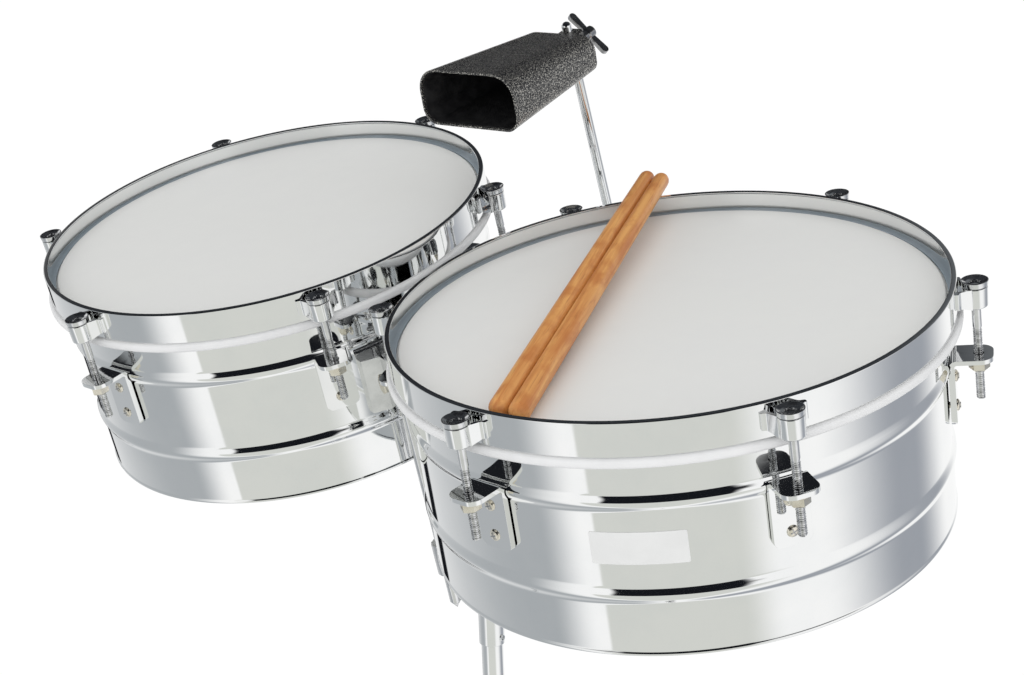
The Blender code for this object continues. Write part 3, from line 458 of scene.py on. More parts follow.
@dataclass(frozen=True)
class HammerPaint(Finish):
    """Black hammered paint with silver flecks where its crinkles break."""

    name: str = "hammer_paint"
    slot: Slot = Slot.BELL_PAINT
    black: tuple[float, float, float] = (0.010, 0.010, 0.012)
    silver: tuple[float, float, float] = (0.68, 0.66, 0.60)
    cell_scale: float = 620.0
    cell_height: float = 0.0005
    cell_depth: float = -0.8
    stir_scale: float = 0.8
    stir_reach: float = 0.0016
    grain_scale: float = 1.6
    fleck_low: float = 0.52
    fleck_high: float = 0.62
    gloss: float = 0.22
    dull: float = 0.30

    def inputs(self, bench: NodeBench) -> dict[str, object]:
        """Flecks and bumps from one crinkled pattern.

        Args:
            bench: The bench on the material's tree.

        Returns:
            Values or output sockets, by input name.
        """
        place = bench.add("ShaderNodeTexCoord").outputs["Object"]
        stir = bench.add("ShaderNodeTexNoise", {"Vector": place, "Scale": self.cell_scale * self.stir_scale,
                                                "Detail": 2.0})
        shifted = bench.add("ShaderNodeVectorMath", {0: stir.outputs["Color"], 1: (self.stir_reach,) * 3},
                            operation="MULTIPLY")
        stirred = bench.add("ShaderNodeVectorMath", {0: place, 1: shifted.outputs[0]}, operation="ADD")
        cells = bench.add("ShaderNodeTexVoronoi", {"Vector": stirred.outputs[0], "Scale": self.cell_scale},
                          feature="SMOOTH_F1")
        grains = bench.add("ShaderNodeTexNoise", {
            "Vector": place, "Scale": self.cell_scale * self.grain_scale, "Detail": 3.0}).outputs[0]
        height = bench.sum("ADD", bench.sum("MULTIPLY", cells.outputs["Distance"], self.cell_depth), grains)
        flecks = bench.ramp(grains, self.fleck_low, self.fleck_high, interpolation="SMOOTHSTEP")
        bump = bench.add("ShaderNodeBump", {"Strength": 1.0, "Distance": self.cell_height, "Height": height})
        return {"Base Color": bench.blend(flecks, opaque(self.black), opaque(self.silver)),
                "Roughness": bench.ramp(flecks, 0.0, 1.0, self.gloss, self.dull),
                "Metallic": flecks, "Normal": bump.outputs[0]}


@dataclass(frozen=True)
class LacqueredWood(Finish):
    """Lacquered hickory with its grain along the stick.

    Each scale is a pattern's fineness across, across and along the grain.
    """

    name: str = "lacquered_wood"
    slot: Slot = Slot.WOOD
    pale: tuple[float, float, float] = (0.76, 0.385, 0.118)
    ripe: tuple[float, float, float] = (0.56, 0.205, 0.050)
    pore: tuple[float, float, float] = (0.36, 0.125, 0.030)
    blush: tuple[float, float, float] = (0.52, 0.175, 0.040)
    band_scale: tuple[float, float, float] = (150.0, 150.0, 7.0)
    band_range: tuple[float, float] = (0.35, 0.68)
    pore_scale: tuple[float, float, float] = (900.0, 900.0, 40.0)
    pore_range: tuple[float, float] = (0.58, 0.72)
    pore_share: float = 0.55
    pore_depth: float = 0.00008
    blush_scale: tuple[float, float, float] = (55.0, 55.0, 30.0)
    blush_range: tuple[float, float] = (0.48, 0.66)
    blush_share: float = 0.75
    gloss: float = 0.36
    dull: float = 0.5
    dull_range: tuple[float, float] = (0.3, 0.7)
    lacquer: float = 0.12

    def inputs(self, bench: NodeBench) -> dict[str, object]:
        """Bands, pores, blushes and relief that follow the "grain" attribute.

        Args:
            bench: The bench on the material's tree.

        Returns:
            Values or output sockets, by input name.
        """
        grain = bench.add("ShaderNodeAttribute", attribute_name="grain").outputs["Vector"]

        def pattern(scale: tuple[float, float, float], **settings: float) -> bpy.types.NodeSocket:
            """Noise that is drawn out along the grain.

            Args:
                scale: The pattern's fineness.
                settings: The Noise Texture's other inputs.

            Returns:
                The pattern.
            """
            drawn = bench.add("ShaderNodeMapping", {"Vector": grain, "Scale": scale})
            return bench.add("ShaderNodeTexNoise", {"Vector": drawn.outputs[0], **settings}).outputs[0]

        bands = pattern(self.band_scale, Scale=1.6, Detail=4.0, Distortion=0.7)
        pores = pattern(self.pore_scale, Scale=1.5, Detail=3.0)
        blotches = pattern(self.blush_scale, Scale=1.4, Detail=3.0)
        band = bench.ramp(bands, *self.band_range)
        pore = bench.ramp(pores, *self.pore_range, 0.0, self.pore_share)
        blotch = bench.ramp(blotches, *self.blush_range, 0.0, self.blush_share)
        banded = bench.blend(band, opaque(self.pale), opaque(self.ripe))
        wood = bench.blend(blotch, banded, opaque(self.blush))
        bump = bench.add("ShaderNodeBump", {"Strength": 0.5, "Distance": self.pore_depth, "Height": pores})
        return {"Base Color": bench.blend(pore, wood, opaque(self.pore)),
                "Roughness": bench.ramp(bands, *self.dull_range, self.gloss, self.dull),
                "Normal": bump.outputs[0], "Coat Weight": self.lacquer}


CHROME = MarkedFinish("bright_chrome", Slot.CHROME, (0.90, 0.905, 0.90), (0.87, 0.88, 0.88), 0.025, 0.06,
                      metallic=1.0)
STEEL = MarkedFinish("plated_steel", Slot.STEEL, (0.80, 0.805, 0.81), (0.70, 0.705, 0.71), 0.09, 0.20,
                     60.0, metallic=1.0)
NICKEL = MarkedFinish("warm_nickel", Slot.NICKEL, (0.86, 0.82, 0.72), (0.74, 0.69, 0.58), 0.16, 0.32,
                      160.0, metallic=1.0)
BLACKENED = MarkedFinish("blackened_steel", Slot.DARK_STEEL, (0.40, 0.40, 0.405), (0.50, 0.50, 0.505),
                         0.14, 0.28, 140.0, 500.0, 0.00003, metallic=1.0)
FILM = MarkedFinish("coated_film", Slot.FILM, (0.785, 0.79, 0.772), (0.765, 0.77, 0.757), 0.32, 0.44,
                    9.0, 1400.0, 0.00002)
PAINT = HammerPaint()
WOOD = LacqueredWood()
RUBBER = MarkedFinish("ribbed_rubber", Slot.RUBBER, (0.022, 0.022, 0.023), (0.045, 0.045, 0.046), 0.6, 0.85,
                      70.0, 900.0, 0.00006)
SATIN = MarkedFinish("satin_ring", Slot.FILM, (0.80, 0.805, 0.81), (0.765, 0.77, 0.775), 0.30, 0.45,
                     40.0, 600.0, 0.00001)
# Near-black sheet inside the bell: painted shade for its unlit inside, without the paint's flecks
INSIDE_SHADE = MarkedFinish("bell_inside_painted_shade", Slot.BELL_PAINT, (0.010, 0.010, 0.011), (0.022, 0.022, 0.023),
                      0.45, 0.65, 120.0, 620.0, 0.00012)
# Blue-grey flange under the hoop: painted shade for the dim gap between the film's edge and the hoop's wall
GAP_SHADE = MarkedFinish("flange_painted_shade", Slot.FILM, (0.30, 0.355, 0.40), (0.27, 0.325, 0.37), 0.30, 0.45,
                      40.0, 600.0, 0.00001)
LABEL = MarkedFinish("blank_label", Slot.FILM, (0.77, 0.775, 0.77), (0.74, 0.745, 0.74), 0.28, 0.42,
                     30.0, 700.0, 0.00001)


# Shapes


def tube_of(rings: Sequence[Sequence[Vector]], place: Matrix, crease: float) -> bpy.types.Mesh:
    """A skin over rings of points, closed at both ends.

    Args:
        rings: The rings, each with as many points as the next.
        place: Where the finished mesh goes.
        crease: Edges sharper than this, in degrees, stay sharp.

    Returns:
        The mesh.
    """
    shape = bmesh.new()
    loops = [[shape.verts.new(point) for point in ring] for ring in rings]
    skinned(shape, loops, closed=False)
    shape.faces.new(loops[0])
    shape.faces.new(loops[-1])
    return finished(shape, place, crease)


def finished(shape: bmesh.types.BMesh, place: Matrix | None = None,
             crease: float = ROUND_CREASE) -> bpy.types.Mesh:
    """Turn a bmesh into a smooth-shaded mesh with its faces pointing out.

    Args:
        shape: The shape, which is freed.
        place: Where it goes.
        crease: Edges sharper than this, in degrees, stay sharp.

    Returns:
        The mesh.
    """
    if place is not None:
        bmesh.ops.transform(shape, matrix=place, verts=shape.verts)
    bmesh.ops.recalc_face_normals(shape, faces=shape.faces)
    mesh = bpy.data.meshes.new("shape")
    shape.to_mesh(mesh)
    shape.free()
    mesh.shade_smooth()
    mesh.set_sharp_from_angle(angle=math.radians(crease))
    return mesh


def joined(*meshes: bpy.types.Mesh) -> bpy.types.Mesh:
    """Put meshes into one.

    Args:
        meshes: The meshes to put together.

    Returns:
        A mesh with all of their faces.
    """
    shape = bmesh.new()
    for mesh in meshes:
        shape.from_mesh(mesh)
    whole = bpy.data.meshes.new("joined")
    shape.to_mesh(whole)
    shape.free()
    return whole


def moved(mesh: bpy.types.Mesh, place: Matrix) -> bpy.types.Mesh:
    """A copy of a mesh in another place.

    Args:
        mesh: The mesh to copy.
        place: Where the copy goes.

    Returns:
        The copy.
    """
    copy = mesh.copy()
    copy.transform(place)
    return copy


def filleted(corners: Sequence[Sequence[float]], steps: int = 5,
             closed: bool = True) -> list[tuple[float, float]]:
    """Round a path's corners.

    Args:
        corners: Points (x, y) or (x, y, radius of the rounding).
        steps: Segments in each rounded corner.
        closed: Whether the path returns to its start.

    Returns:
        The path's points.
    """
    room = 0.49
    points = []
    last = len(corners) - 1
    for i, corner in enumerate(corners):
        here = Vector(corner[:2])
        radius = corner[2] if len(corner) > 2 else 0.0
        if radius <= 0 or (not closed and i in (0, last)):
            points.append(tuple(here))
            continue
        before = Vector(corners[i - 1][:2]) - here
        after = Vector(corners[0 if i == last else i + 1][:2]) - here
        half = before.angle(after) / 2
        reach = min(radius / math.tan(half), room * before.length, room * after.length)
        middle = here + (before.normalized() + after.normalized()).normalized() * (reach / math.cos(half))
        bend = reach * math.tan(half)
        spoke = here + before.normalized() * reach - middle
        other = here + after.normalized() * reach - middle
        start = math.atan2(spoke.y, spoke.x)
        sweep = (math.atan2(other.y, other.x) - start + math.pi) % math.tau - math.pi
        for k in range(steps + 1):
            angle = start + sweep * k / steps
            points.append((middle.x + bend * math.cos(angle), middle.y + bend * math.sin(angle)))
    return points


def quarter_turn(steps: int = ARC_STEPS, start: float = 0.0) -> list[float]:
    """Angles in radians over a quarter turn, from a start in degrees."""
    return [math.radians(start + 90 * k / steps) for k in range(steps + 1)]


def circle_points(radius: float, count: int,
                  centre: Sequence[float] = (0.0, 0.0)) -> list[tuple[float, float]]:
    """Points on a full circle.

    Args:
        radius: The circle's radius.
        count: How many points.
        centre: The circle's centre.

    Returns:
        The points, anticlockwise.
    """
    angles = [math.tau * i / count for i in range(count)]
    return [(centre[0] + radius * math.cos(a), centre[1] + radius * math.sin(a)) for a in angles]


def skinned(shape: bmesh.types.BMesh, rings: list[list[bmesh.types.BMVert]], closed: bool) -> None:
    """Join rings of vertices, where a ring of one vertex is a pole.

    Args:
        shape: The shape that holds the rings.
        rings: The rings, in order.
        closed: Whether the last ring joins the first.
    """
    pairs = list(zip(rings, rings[1:]))
    if closed:
        pairs.append((rings[-1], rings[0]))
    for first, second in pairs:
        count = max(len(first), len(second))
        for i in range(count):
            j = (i + 1) % count
            corners = [ring[k % len(ring)] for ring, k in ((first, i), (first, j), (second, j), (second, i))]
            shape.faces.new(list(dict.fromkeys(corners)))


def turned(profile: Sequence[Sequence[float]], segments: int = ROUND_SEGMENTS, place: Matrix | None = None,
           crease: float = ROUND_CREASE) -> bpy.types.Mesh:
    """Turn a profile about Z.

    Args:
        profile: Points (radius, height); a radius of 0 is a pole.
        segments: Facets round the axis.
        place: Where the shape goes.
        crease: Edges sharper than this, in degrees, stay sharp.

    Returns:
        The mesh.
    """
    shape = bmesh.new()
    rings = []
    for radius, height in profile:
        around = circle_points(radius, segments) if radius > 0 else [(0.0, 0.0)]
        rings.append([shape.verts.new((x, y, height)) for x, y in around])
    skinned(shape, rings, closed=profile[0][0] > 0)
    return finished(shape, place, crease)


def swept(path: Sequence[Vector], radii: Sequence[float], segments: int, place: Matrix) -> bpy.types.Mesh:
    """Sweep a circle along a path.

    Args:
        path: The path's points.
        radii: The circle's radius at each point.
        segments: Facets round the path.
        place: Where the shape goes.

    Returns:
        The mesh, with its ends closed.
    """
    rings = []
    ahead = (path[1] - path[0]).normalized()
    side = ahead.orthogonal().normalized()
    for i, (point, radius) in enumerate(zip(path, radii)):
        step = path[min(i + 1, len(path) - 1)] - path[max(i - 1, 0)]
        turn = ahead.rotation_difference(step.normalized())
        ahead = step.normalized()
        side = (turn @ side).normalized()
        up = ahead.cross(side)
        rings.append([point + x * side + y * up for x, y in circle_points(radius, segments)])
    return tube_of(rings, place, ROUND_CREASE)


def softened(shape: bmesh.types.BMesh, width: float) -> None:
    """Bevel a shape's sharp edges.

    Args:
        shape: The shape to change.
        width: The bevel's width.
    """
    limit = math.radians(CUT_CREASE)
    edges = [edge for edge in shape.edges if len(edge.link_faces) == 2 and edge.calc_face_angle() > limit]
    bmesh.ops.bevel(shape, geom=edges, offset=width, segments=2, profile=0.5, affect="EDGES",
                    clamp_overlap=True)


def plate(outline: Sequence[Sequence[float]], low: float, high: float, place: Matrix | None = None,
          holes: Sequence[Sequence[Sequence[float]]] = (), soft: float = FINE,
          cuts: Sequence[float] = (), bend: Callable[[Vector], Vector] | None = None) -> bpy.types.Mesh:
    """Extrude an outline in XY, soften its edges and perhaps bend it.

    Args:
        outline: The outer loop.
        low: The lower face's height.
        high: The upper face's height.
        place: Where the shape goes.
        holes: Inner loops.
        soft: The width of the softened edges.
        cuts: Values of X where extra edges are cut, for bending.
        bend: Moves each point before it is placed.

    Returns:
        The mesh.
    """
    shape = bmesh.new()
    edges = []
    for loop in (outline, *holes):
        corners = [shape.verts.new((x, y, low)) for x, y in loop]
        edges += [shape.edges.new((a, b)) for a, b in zip(corners, corners[1:] + corners[:1])]
    bmesh.ops.triangle_fill(shape, edges=edges, use_beauty=True)
    raised = bmesh.ops.extrude_face_region(shape, geom=shape.faces[:])["geom"]
    bmesh.ops.translate(shape, verts=[v for v in raised if isinstance(v, bmesh.types.BMVert)],
                        vec=(0, 0, high - low))
    bmesh.ops.recalc_face_normals(shape, faces=shape.faces)
    softened(shape, soft)
    for x in cuts:
        whole = shape.verts[:] + shape.edges[:] + shape.faces[:]
        bmesh.ops.bisect_plane(shape, geom=whole, plane_co=(x, 0, 0), plane_no=(1, 0, 0))
    if bend is not None:
        for vertex in shape.verts:
            vertex.co = bend(vertex.co.copy())
    return finished(shape, place)


def block(low: Sequence[float], high: Sequence[float], place: Matrix, soft: float) -> bpy.types.Mesh:
    """A block with softened edges.

    Args:
        low: One corner.
        high: The other corner.
        place: Where it goes.
        soft: The width of the softened edges.

    Returns:
        The mesh.
    """
    outline = ((low[0], low[1]), (high[0], low[1]), (high[0], high[1]), (low[0], high[1]))
    return plate(outline, low[2], high[2], place, soft=soft)


def eased_copy(node: str, soft: float) -> bpy.types.Mesh:
    """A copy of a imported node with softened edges.

    Args:
        node: The node's name.
        soft: The width of the softened edges.

    Returns:
        The mesh.
    """
    same_place, same_plane = 0.000005, math.radians(1.0)
    shape = bmesh.new()
    shape.from_mesh(frame["nodes"][node].data)
    bmesh.ops.remove_doubles(shape, verts=shape.verts, dist=same_place)
    bmesh.ops.dissolve_limit(shape, angle_limit=same_plane, verts=shape.verts, edges=shape.edges)
    bmesh.ops.recalc_face_normals(shape, faces=shape.faces)
    softened(shape, soft)
    return finished(shape, crease=CUT_CREASE)


def joint(name: str) -> dict:
    """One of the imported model's joints."""
    return next(item for item in frame["joints"] if item["name"] == name)


def axes(x: Vector, z: Vector, origin: Vector) -> Matrix:
    """A frame from its X and Z directions.

    Args:
        x: The X direction, made square to Z.
        z: The Z direction.
        origin: The frame's origin.

    Returns:
        The frame.
    """
    z = z.normalized()
    x = (x - z * x.dot(z)).normalized()
    matrix = Matrix((x, z.cross(x), z)).transposed().to_4x4()
    matrix.translation = origin
    return matrix


def spun_frame(name: str, x: Vector) -> Matrix:
    """A hinge's frame, with Z along its axis.

    Args:
        name: The joint's name.
        x: The frame's X direction.

    Returns:
        The frame.
    """
    return axes(x, Vector(joint(name)["axis"]), Vector(joint(name)["pos_m"]))


def set_piece(name: str, mesh: bpy.types.Mesh, finish: Finish, body: str, *nodes: str) -> bpy.types.Object:
    """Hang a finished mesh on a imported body, with shading that keeps its flat faces flat.

    Args:
        name: The piece's name.
        mesh: Its mesh, in place.
        finish: Its finish.
        body: The body that it rides on.
        nodes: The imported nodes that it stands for.

    Returns:
        The piece.
    """
    mesh.name = name
    mesh.materials.clear()
    mesh.materials.append(finish.material())
    item = bpy.data.objects.new(name, mesh)
    bpy.context.scene.collection.objects.link(item)
    item.modifiers.new("even_shading", "WEIGHTED_NORMAL").keep_sharp = True
    graph = bpy.context.evaluated_depsgraph_get()
    item.data = bpy.data.meshes.new_from_object(item.evaluated_get(graph))
    item.modifiers.clear()
    item.data.name = name
    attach(item, body)
    if nodes:
        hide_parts(*nodes)
    LOG.info("%s on %s: %d faces", name, body, len(mesh.polygons))
    return item


X_AXIS = Vector((1, 0, 0))
Y_AXIS = Vector((0, 1, 0))
Z_AXIS = Vector((0, 0, 1))
TO_YZ = Matrix(((0, 0, 1, 0), (1, 0, 0, 0), (0, 1, 0, 0), (0, 0, 0, 1)))
TO_XZ = Matrix(((1, 0, 0, 0), (0, 0, -1, 0), (0, 1, 0, 0), (0, 0, 0, 1)))


# Drums


@dataclass(frozen=True)
class NutSizes:
    """A flanged nut: radii, and drops below the bracket's shelf."""

    flange: float = 0.0080
    flange_low: float = 0.0078
    flange_drop: float = 0.0015
    cone: float = 0.0062
    cone_drop: float = 0.0024
    hexagon: float = 0.0069
    shoulder_drop: float = 0.0072
    end: float = 0.0058
    end_drop: float = 0.0082
    thread_gap: float = 0.0001


@dataclass(frozen=True)
class RodSizes:
    """A tension rod.

    The top of its head, its thread and its end hang below the hoop's rim, and the socket, the dish and the
    belly below the top of the head. The end's share is of the thread's root, the others of the head's radius.
    """

    radius: float = 0.0031
    end_drop: float = 0.0864
    end_share: float = 0.7
    head: float = 0.0090
    head_drop: float = 0.0015
    head_height: float = 0.0038
    rim_share: float = 0.92
    belly_share: float = 0.97
    belly_drop: float = 0.0012
    under_share: float = 0.93
    socket: float = 0.0034
    socket_drop: float = 0.0028
    socket_mouth: float = 0.0037
    socket_mouth_drop: float = 0.0016
    dish: float = 0.0058
    dish_drop: float = 0.0013
    thread_drop: float = 0.0355
    thread_start: float = 0.0016
    thread_end: float = 0.0008
    thread_short: float = 0.0012
    thread_pitch: float = 0.0014
    thread_ridge: float = 0.0005


@dataclass(frozen=True)
class ScrewSizes:
    """A bracket's screw: its dome, its shank, the nut inside the shell, and the dark blades of painted shade
    in its cross recess.
    """

    drops: tuple[float, float] = (0.016, 0.0375)
    head: float = 0.0041
    dome: float = 0.0021
    sink: float = 0.0002
    shank: float = 0.0021
    nut: float = 0.0040
    nut_shoulder: float = 0.0018
    nut_end: float = 0.0028
    nut_height: float = 0.0026
    recess_turns: tuple[float, float] = (math.radians(20), math.radians(110))
    recess_half: float = 0.0023
    recess_half_width: float = 0.00042
    recess_depth: float = 0.0009
    recess_proud: float = 0.00006
    recess_soft: float = 0.0001


@dataclass(frozen=True)
class KeySizes:
    """A mount's hexagon bolt: radii, the seat and the tip along its axis, and heights above the seat."""

    seat: float = 0.0088
    tip: float = 0.0048
    shank: float = 0.0024
    foot: float = 0.0043
    foot_height: float = 0.0004
    hexagon: float = 0.0050
    flats: tuple[float, float] = (0.001, 0.005)
    end: float = 0.0044
    end_height: float = 0.006
    washer_bore: float = 0.0022
    washer: float = 0.0050
    washer_height: float = 0.0008


@dataclass(frozen=True)
class EarSizes:
    """A hoop's ear: the cup round the tension rod and the two folded arms beside it."""

    height: float = 0.0142
    rise: float = 0.0035
    cup: float = 0.0084
    cup_taper: float = 0.94
    sheet: float = 0.002
    half: float = 0.0150
    root: float = 0.001
    foot: float = 0.0012
    fold: float = 0.0118
    fold_out: float = 0.0016
    fold_in: float = 0.0002
    fold_round: float = 0.006
    fold_hollow: float = 0.004
    tuck: float = 0.0015
    sink: float = 0.0004


@dataclass
class DrumLook:
    """One drum: its shell, head, hoop, lugs and mount."""

    name: str
    radius: float
    label_angle: float | None = None
    lugs: int = 6
    height: float = 0.1673
    wall: float = 0.0015
    bead_drops: tuple[float, float] = (0.059, 0.124)
    bead_proud: float = 0.0022
    bead_half: float = 0.0068
    bead_steps: int = 16
    lip_proud: float = 0.0007
    lip_height: float = 0.0028
    lip_start: float = 0.003
    lip_belly: float = 0.6
    lip_roll: float = 0.0014
    film_drop: float = 0.013
    film_thickness: float = 0.0008
    film_edge: float = 0.003
    film_bend: float = 0.0016
    film_rings: tuple[float, ...] = (0.25, 0.5, 0.75, 0.9)
    collar: float = 0.0025
    collar_wall: float = 0.0012
    flesh_width: float = 0.0040
    flesh_height: float = 0.0072
    hoop_proud: float = 0.0090
    hoop_wall: float = 0.0028
    hoop_lip: float = 0.0009
    hoop_flange: float = 0.0016
    hoop_flange_start: float = 0.0024
    hoop_height: float = 0.030
    hoop_seam: float = 0.0002
    hoop_steps: int = 6
    hoop_bead_proud: float = 0.0028
    hoop_bead_height: float = 0.007
    hoop_bead_rounds: tuple[float, float] = (0.0028, 0.0030)
    lug_reach: float = 0.020
    bracket_half: float = 0.0127
    bracket_height: float = 0.0475
    bracket_drop: float = 0.0535
    bracket_gap: float = 0.0006
    bracket_sheet: float = 0.0040
    bracket_shelf: float = 0.0031
    bracket_soft: float = 0.0013
    bracket_corner: float = 0.005
    bracket_end: float = 0.0095
    bracket_end_corner: float = 0.0085
    bracket_bend: float = 0.0052
    label_half_angle: float = math.radians(9.64)
    label_corner: float = 0.0012
    label_drops: tuple[float, float] = (0.0787, 0.1012)
    label_faces: tuple[float, float] = (-0.0001, 0.00022)
    label_soft: float = 0.00006
    ears: EarSizes = EarSizes()
    nuts: NutSizes = NutSizes()
    rods: RodSizes = RodSizes()
    screw_sizes: ScrewSizes = ScrewSizes()
    key: KeySizes = KeySizes()

    def __post_init__(self) -> None:
        """Read the drum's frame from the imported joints."""
        self.body = f"drum_{self.name}"
        up = Vector(joint(f"drum_height_{self.name}")["axis"]).normalized()
        pegs = [Vector(joint(f"tune_{self.name}_{i + 1}")["pos_m"]) for i in range(self.lugs)]
        middle = sum(pegs, Vector()) / self.lugs
        rim = max(up.dot(vertex.co) for vertex in frame["nodes"][f"hoop_{self.name}"].data.vertices)
        self.frame = axes(X_AXIS, up, middle + up * (rim - up.dot(middle)))
        first = self.frame.inverted() @ pegs[0]
        self.first_lug = math.atan2(first.y, first.x)

    def build(self) -> None:
        """Build all of the drum's pieces."""
        self.shell()
        self.head()
        self.hoop()
        self.brackets()
        self.tension_rods()
        self.mount()
        if self.label_angle is not None:
            self.label()

    def ring_of(self, mesh: bpy.types.Mesh, finish: Finish) -> bpy.types.Mesh:
        """Copies of a lug's shape at every lug, in the drum's place.

        Args:
            mesh: The shape in a lug's frame, with X pointing out.
            finish: The copies' finish.

        Returns:
            The copies as one mesh.
        """
        values = {"Count": self.lugs, "Radius": self.radius + self.lug_reach, "First Angle": self.first_lug,
                  "Material": finish.material()}
        whole = grown(mesh, kept_tree("Lug circle", lug_circle_tree), values)
        whole.transform(self.frame)
        return whole

    def swell(self, share: float) -> float:
        """How far a shell's bead stands out, from its middle at 0 to its edges at -1 and 1."""
        return self.bead_proud * (0.5 + 0.5 * math.cos(math.pi * share))

    def bead(self, radius: float, drop: float) -> list[tuple[float, float]]:
        """A formed bead's section.

        Args:
            radius: The wall that it stands out from.
            drop: Its middle, below the rim.

        Returns:
            Points (radius, height), from the top down.
        """
        shares = [2 * i / self.bead_steps - 1 for i in range(self.bead_steps + 1)]
        return [(radius + self.swell(share), -drop - self.bead_half * share) for share in shares]

    def shell(self) -> None:
        """The shell: sheet metal with two beads and a rolled lip."""
        top = -self.film_drop - self.film_thickness - CLEARANCE
        inner = self.radius - self.wall
        outside = [(self.radius, top)]
        inside = [(inner, top)]
        for drop in self.bead_drops:
            outside += self.bead(self.radius, drop)
            inside += self.bead(inner, drop)
        lip_top = self.lip_height - self.height
        proud = self.radius + self.lip_proud
        lip = [(self.radius, lip_top + self.lip_start), (self.radius, lip_top, BROAD),
               (proud, self.lip_belly * self.lip_height - self.height, self.lip_roll),
               (proud, -self.height, self.lip_roll), (inner, -self.height, FINE)]
        outside += filleted(lip, closed=False)
        mesh = turned(outside + inside[::-1], DRUM_SEGMENTS, self.frame)
        set_piece(f"shell_look_{self.name}", mesh, CHROME, self.body, f"shell_{self.name}")

    def head(self) -> None:
        """The film, drawn down over the shell's edge to its flesh hoop."""
        top = -self.film_drop
        below = top - self.film_thickness
        under = top - self.collar - CLEARANCE
        low = under - self.flesh_height
        inner = self.radius + 2 * CLEARANCE
        outer = inner + self.collar_wall
        edge = outer - self.film_edge
        rim = outer + self.flesh_width
        profile = [(0, top)]
        profile += [(share * edge, top) for share in self.film_rings]
        profile += filleted([(edge, top), (outer, top, self.film_bend), (outer, under, KEEN),
                             (rim, under, ROUND), (rim, low, ROUND), (inner, low, CRISP), (inner, below)],
                            closed=False)
        profile.append((0, below))
        mesh = turned(profile, DRUM_SEGMENTS, self.frame)
        set_piece(f"head_look_{self.name}", mesh, FILM, self.body, f"head_{self.name}")

    def hoop(self) -> None:
        """The counter hoop with an ear at each lug, the satin ring under it and its flange, blue-grey as
        painted shade of the gap.
        """
        outer = self.radius + self.hoop_proud
        inner = outer - self.hoop_wall
        lip = inner - self.hoop_lip
        proud = outer + self.hoop_bead_proud
        start = self.radius + 2 * CLEARANCE + self.hoop_flange_start
        press = -self.film_drop - self.collar
        flange_top = press + self.hoop_flange
        bead_top = self.hoop_bead_height - self.hoop_height
        seam = bead_top - self.hoop_seam
        band = filleted([(outer, 0, SOFT), (outer, seam), (inner, seam), (inner, -2 * self.hoop_lip, EASED),
                         (lip, -self.hoop_lip, EASED), (lip, 0, SOFT)], self.hoop_steps)
        ring = filleted([(inner, bead_top), (proud, bead_top, self.hoop_bead_rounds[0]),
                         (proud, -self.hoop_height, self.hoop_bead_rounds[1]),
                         (inner, -self.hoop_height, EASED)], self.hoop_steps)
        flat = filleted([(inner, press), (inner, flange_top), (start, flange_top, FINE),
                         (start, press, FINE)])
        mesh = joined(turned(band, DRUM_SEGMENTS, self.frame), self.ring_of(self.ear(), CHROME))
        set_piece(f"hoop_look_{self.name}", mesh, CHROME, self.body, f"hoop_{self.name}")
        set_piece(f"hoop_ring_{self.name}", turned(ring, DRUM_SEGMENTS, self.frame), SATIN, self.body)
        # The flange's blue-grey is painted shade of the gap under the hoop
        set_piece(f"hoop_flange_{self.name}", turned(flat, DRUM_SEGMENTS, self.frame), GAP_SHADE, self.body)

    def ear(self) -> bpy.types.Mesh:
        """One ear: a cup round the tension rod and two folded arms that rise to the hoop's wall.

        Returns:
            The mesh in a lug's frame.
        """
        ear = self.ears
        top = -self.rods.head_drop - self.rods.head_height - CLEARANCE
        low = top - ear.height
        bore = self.rods.radius + CLEARANCE
        cup = turned(filleted([(bore, top, KEEN), (ear.cup, top, SOFT), (ear.cup_taper * ear.cup, low, BROAD),
                               (bore, low, KEEN)]), ROUND_SEGMENTS)
        wall = self.hoop_proud - self.lug_reach
        beside = ear.cup - ear.sink
        inside = ear.fold - ear.sheet
        arms = []
        for side in (1, -1):
            outline = filleted([
                (wall - ear.root, ear.half), (wall + ear.foot, ear.half, PLUMP),
                (wall + ear.fold_out, ear.fold, ear.fold_round), (-ear.tuck, beside, ROUND),
                (-ear.tuck, beside - ear.sheet), (wall - ear.fold_in, inside, ear.fold_hollow),
                (wall - ear.root, inside)])
            arm = plate([(x, side * y) for x, y in outline], low, top, soft=KEEN)
            for vertex in arm.vertices:
                share = (top - vertex.co.z) / ear.height * (vertex.co.x + ear.tuck) / (wall + ear.tuck)
                vertex.co.z += ear.rise * share
            arms.append(arm)
        return joined(cup, *arms)

    def brackets(self) -> None:
        """The brackets on the shell, the nuts under their shelves and their screws."""
        packed = [f"lug_bracket_{self.name}_{i + 1}" for i in range(self.lugs)]
        for kind, mesh, finish, nodes in (("brackets", self.bracket(), CHROME, packed),
                                          ("nuts", self.nut(), NICKEL, ()),
                                          ("screws", self.screws(), NICKEL, ()),
                                          ("recesses", self.recesses(), BLACKENED, ())):
            set_piece(f"lug_{kind}_{self.name}", self.ring_of(mesh, finish), finish, self.body, *nodes)

    @property
    def shelf_top(self) -> float:
        """Height of the brackets' shelves, from the rim."""
        return -self.bracket_drop

    @property
    def bracket_back(self) -> float:
        """The brackets' backs, close to the shell and notched over its bead, from the tension rods."""
        return self.bracket_gap - self.lug_reach

    def bracket(self) -> bpy.types.Mesh:
        """One bracket, cut flat and bent.

        Returns:
            The mesh in a lug's frame.
        """
        back, top, bend = self.bracket_back, self.shelf_top, self.bracket_bend
        quarter = bend * math.pi / 2
        hole = quarter - (back + bend)
        low = bend - self.bracket_height
        half = self.bracket_half
        side = [(low, half, self.bracket_corner), (hole + self.bracket_end, half, self.bracket_end_corner)]
        outline = filleted([*side, *[(x, -y, r) for x, y, r in side[::-1]]], ARC_STEPS)
        bore = circle_points(self.rods.radius + CLEARANCE, SMALL_SEGMENTS, (hole, 0.0))
        thinned = 1 - self.bracket_shelf / self.bracket_sheet

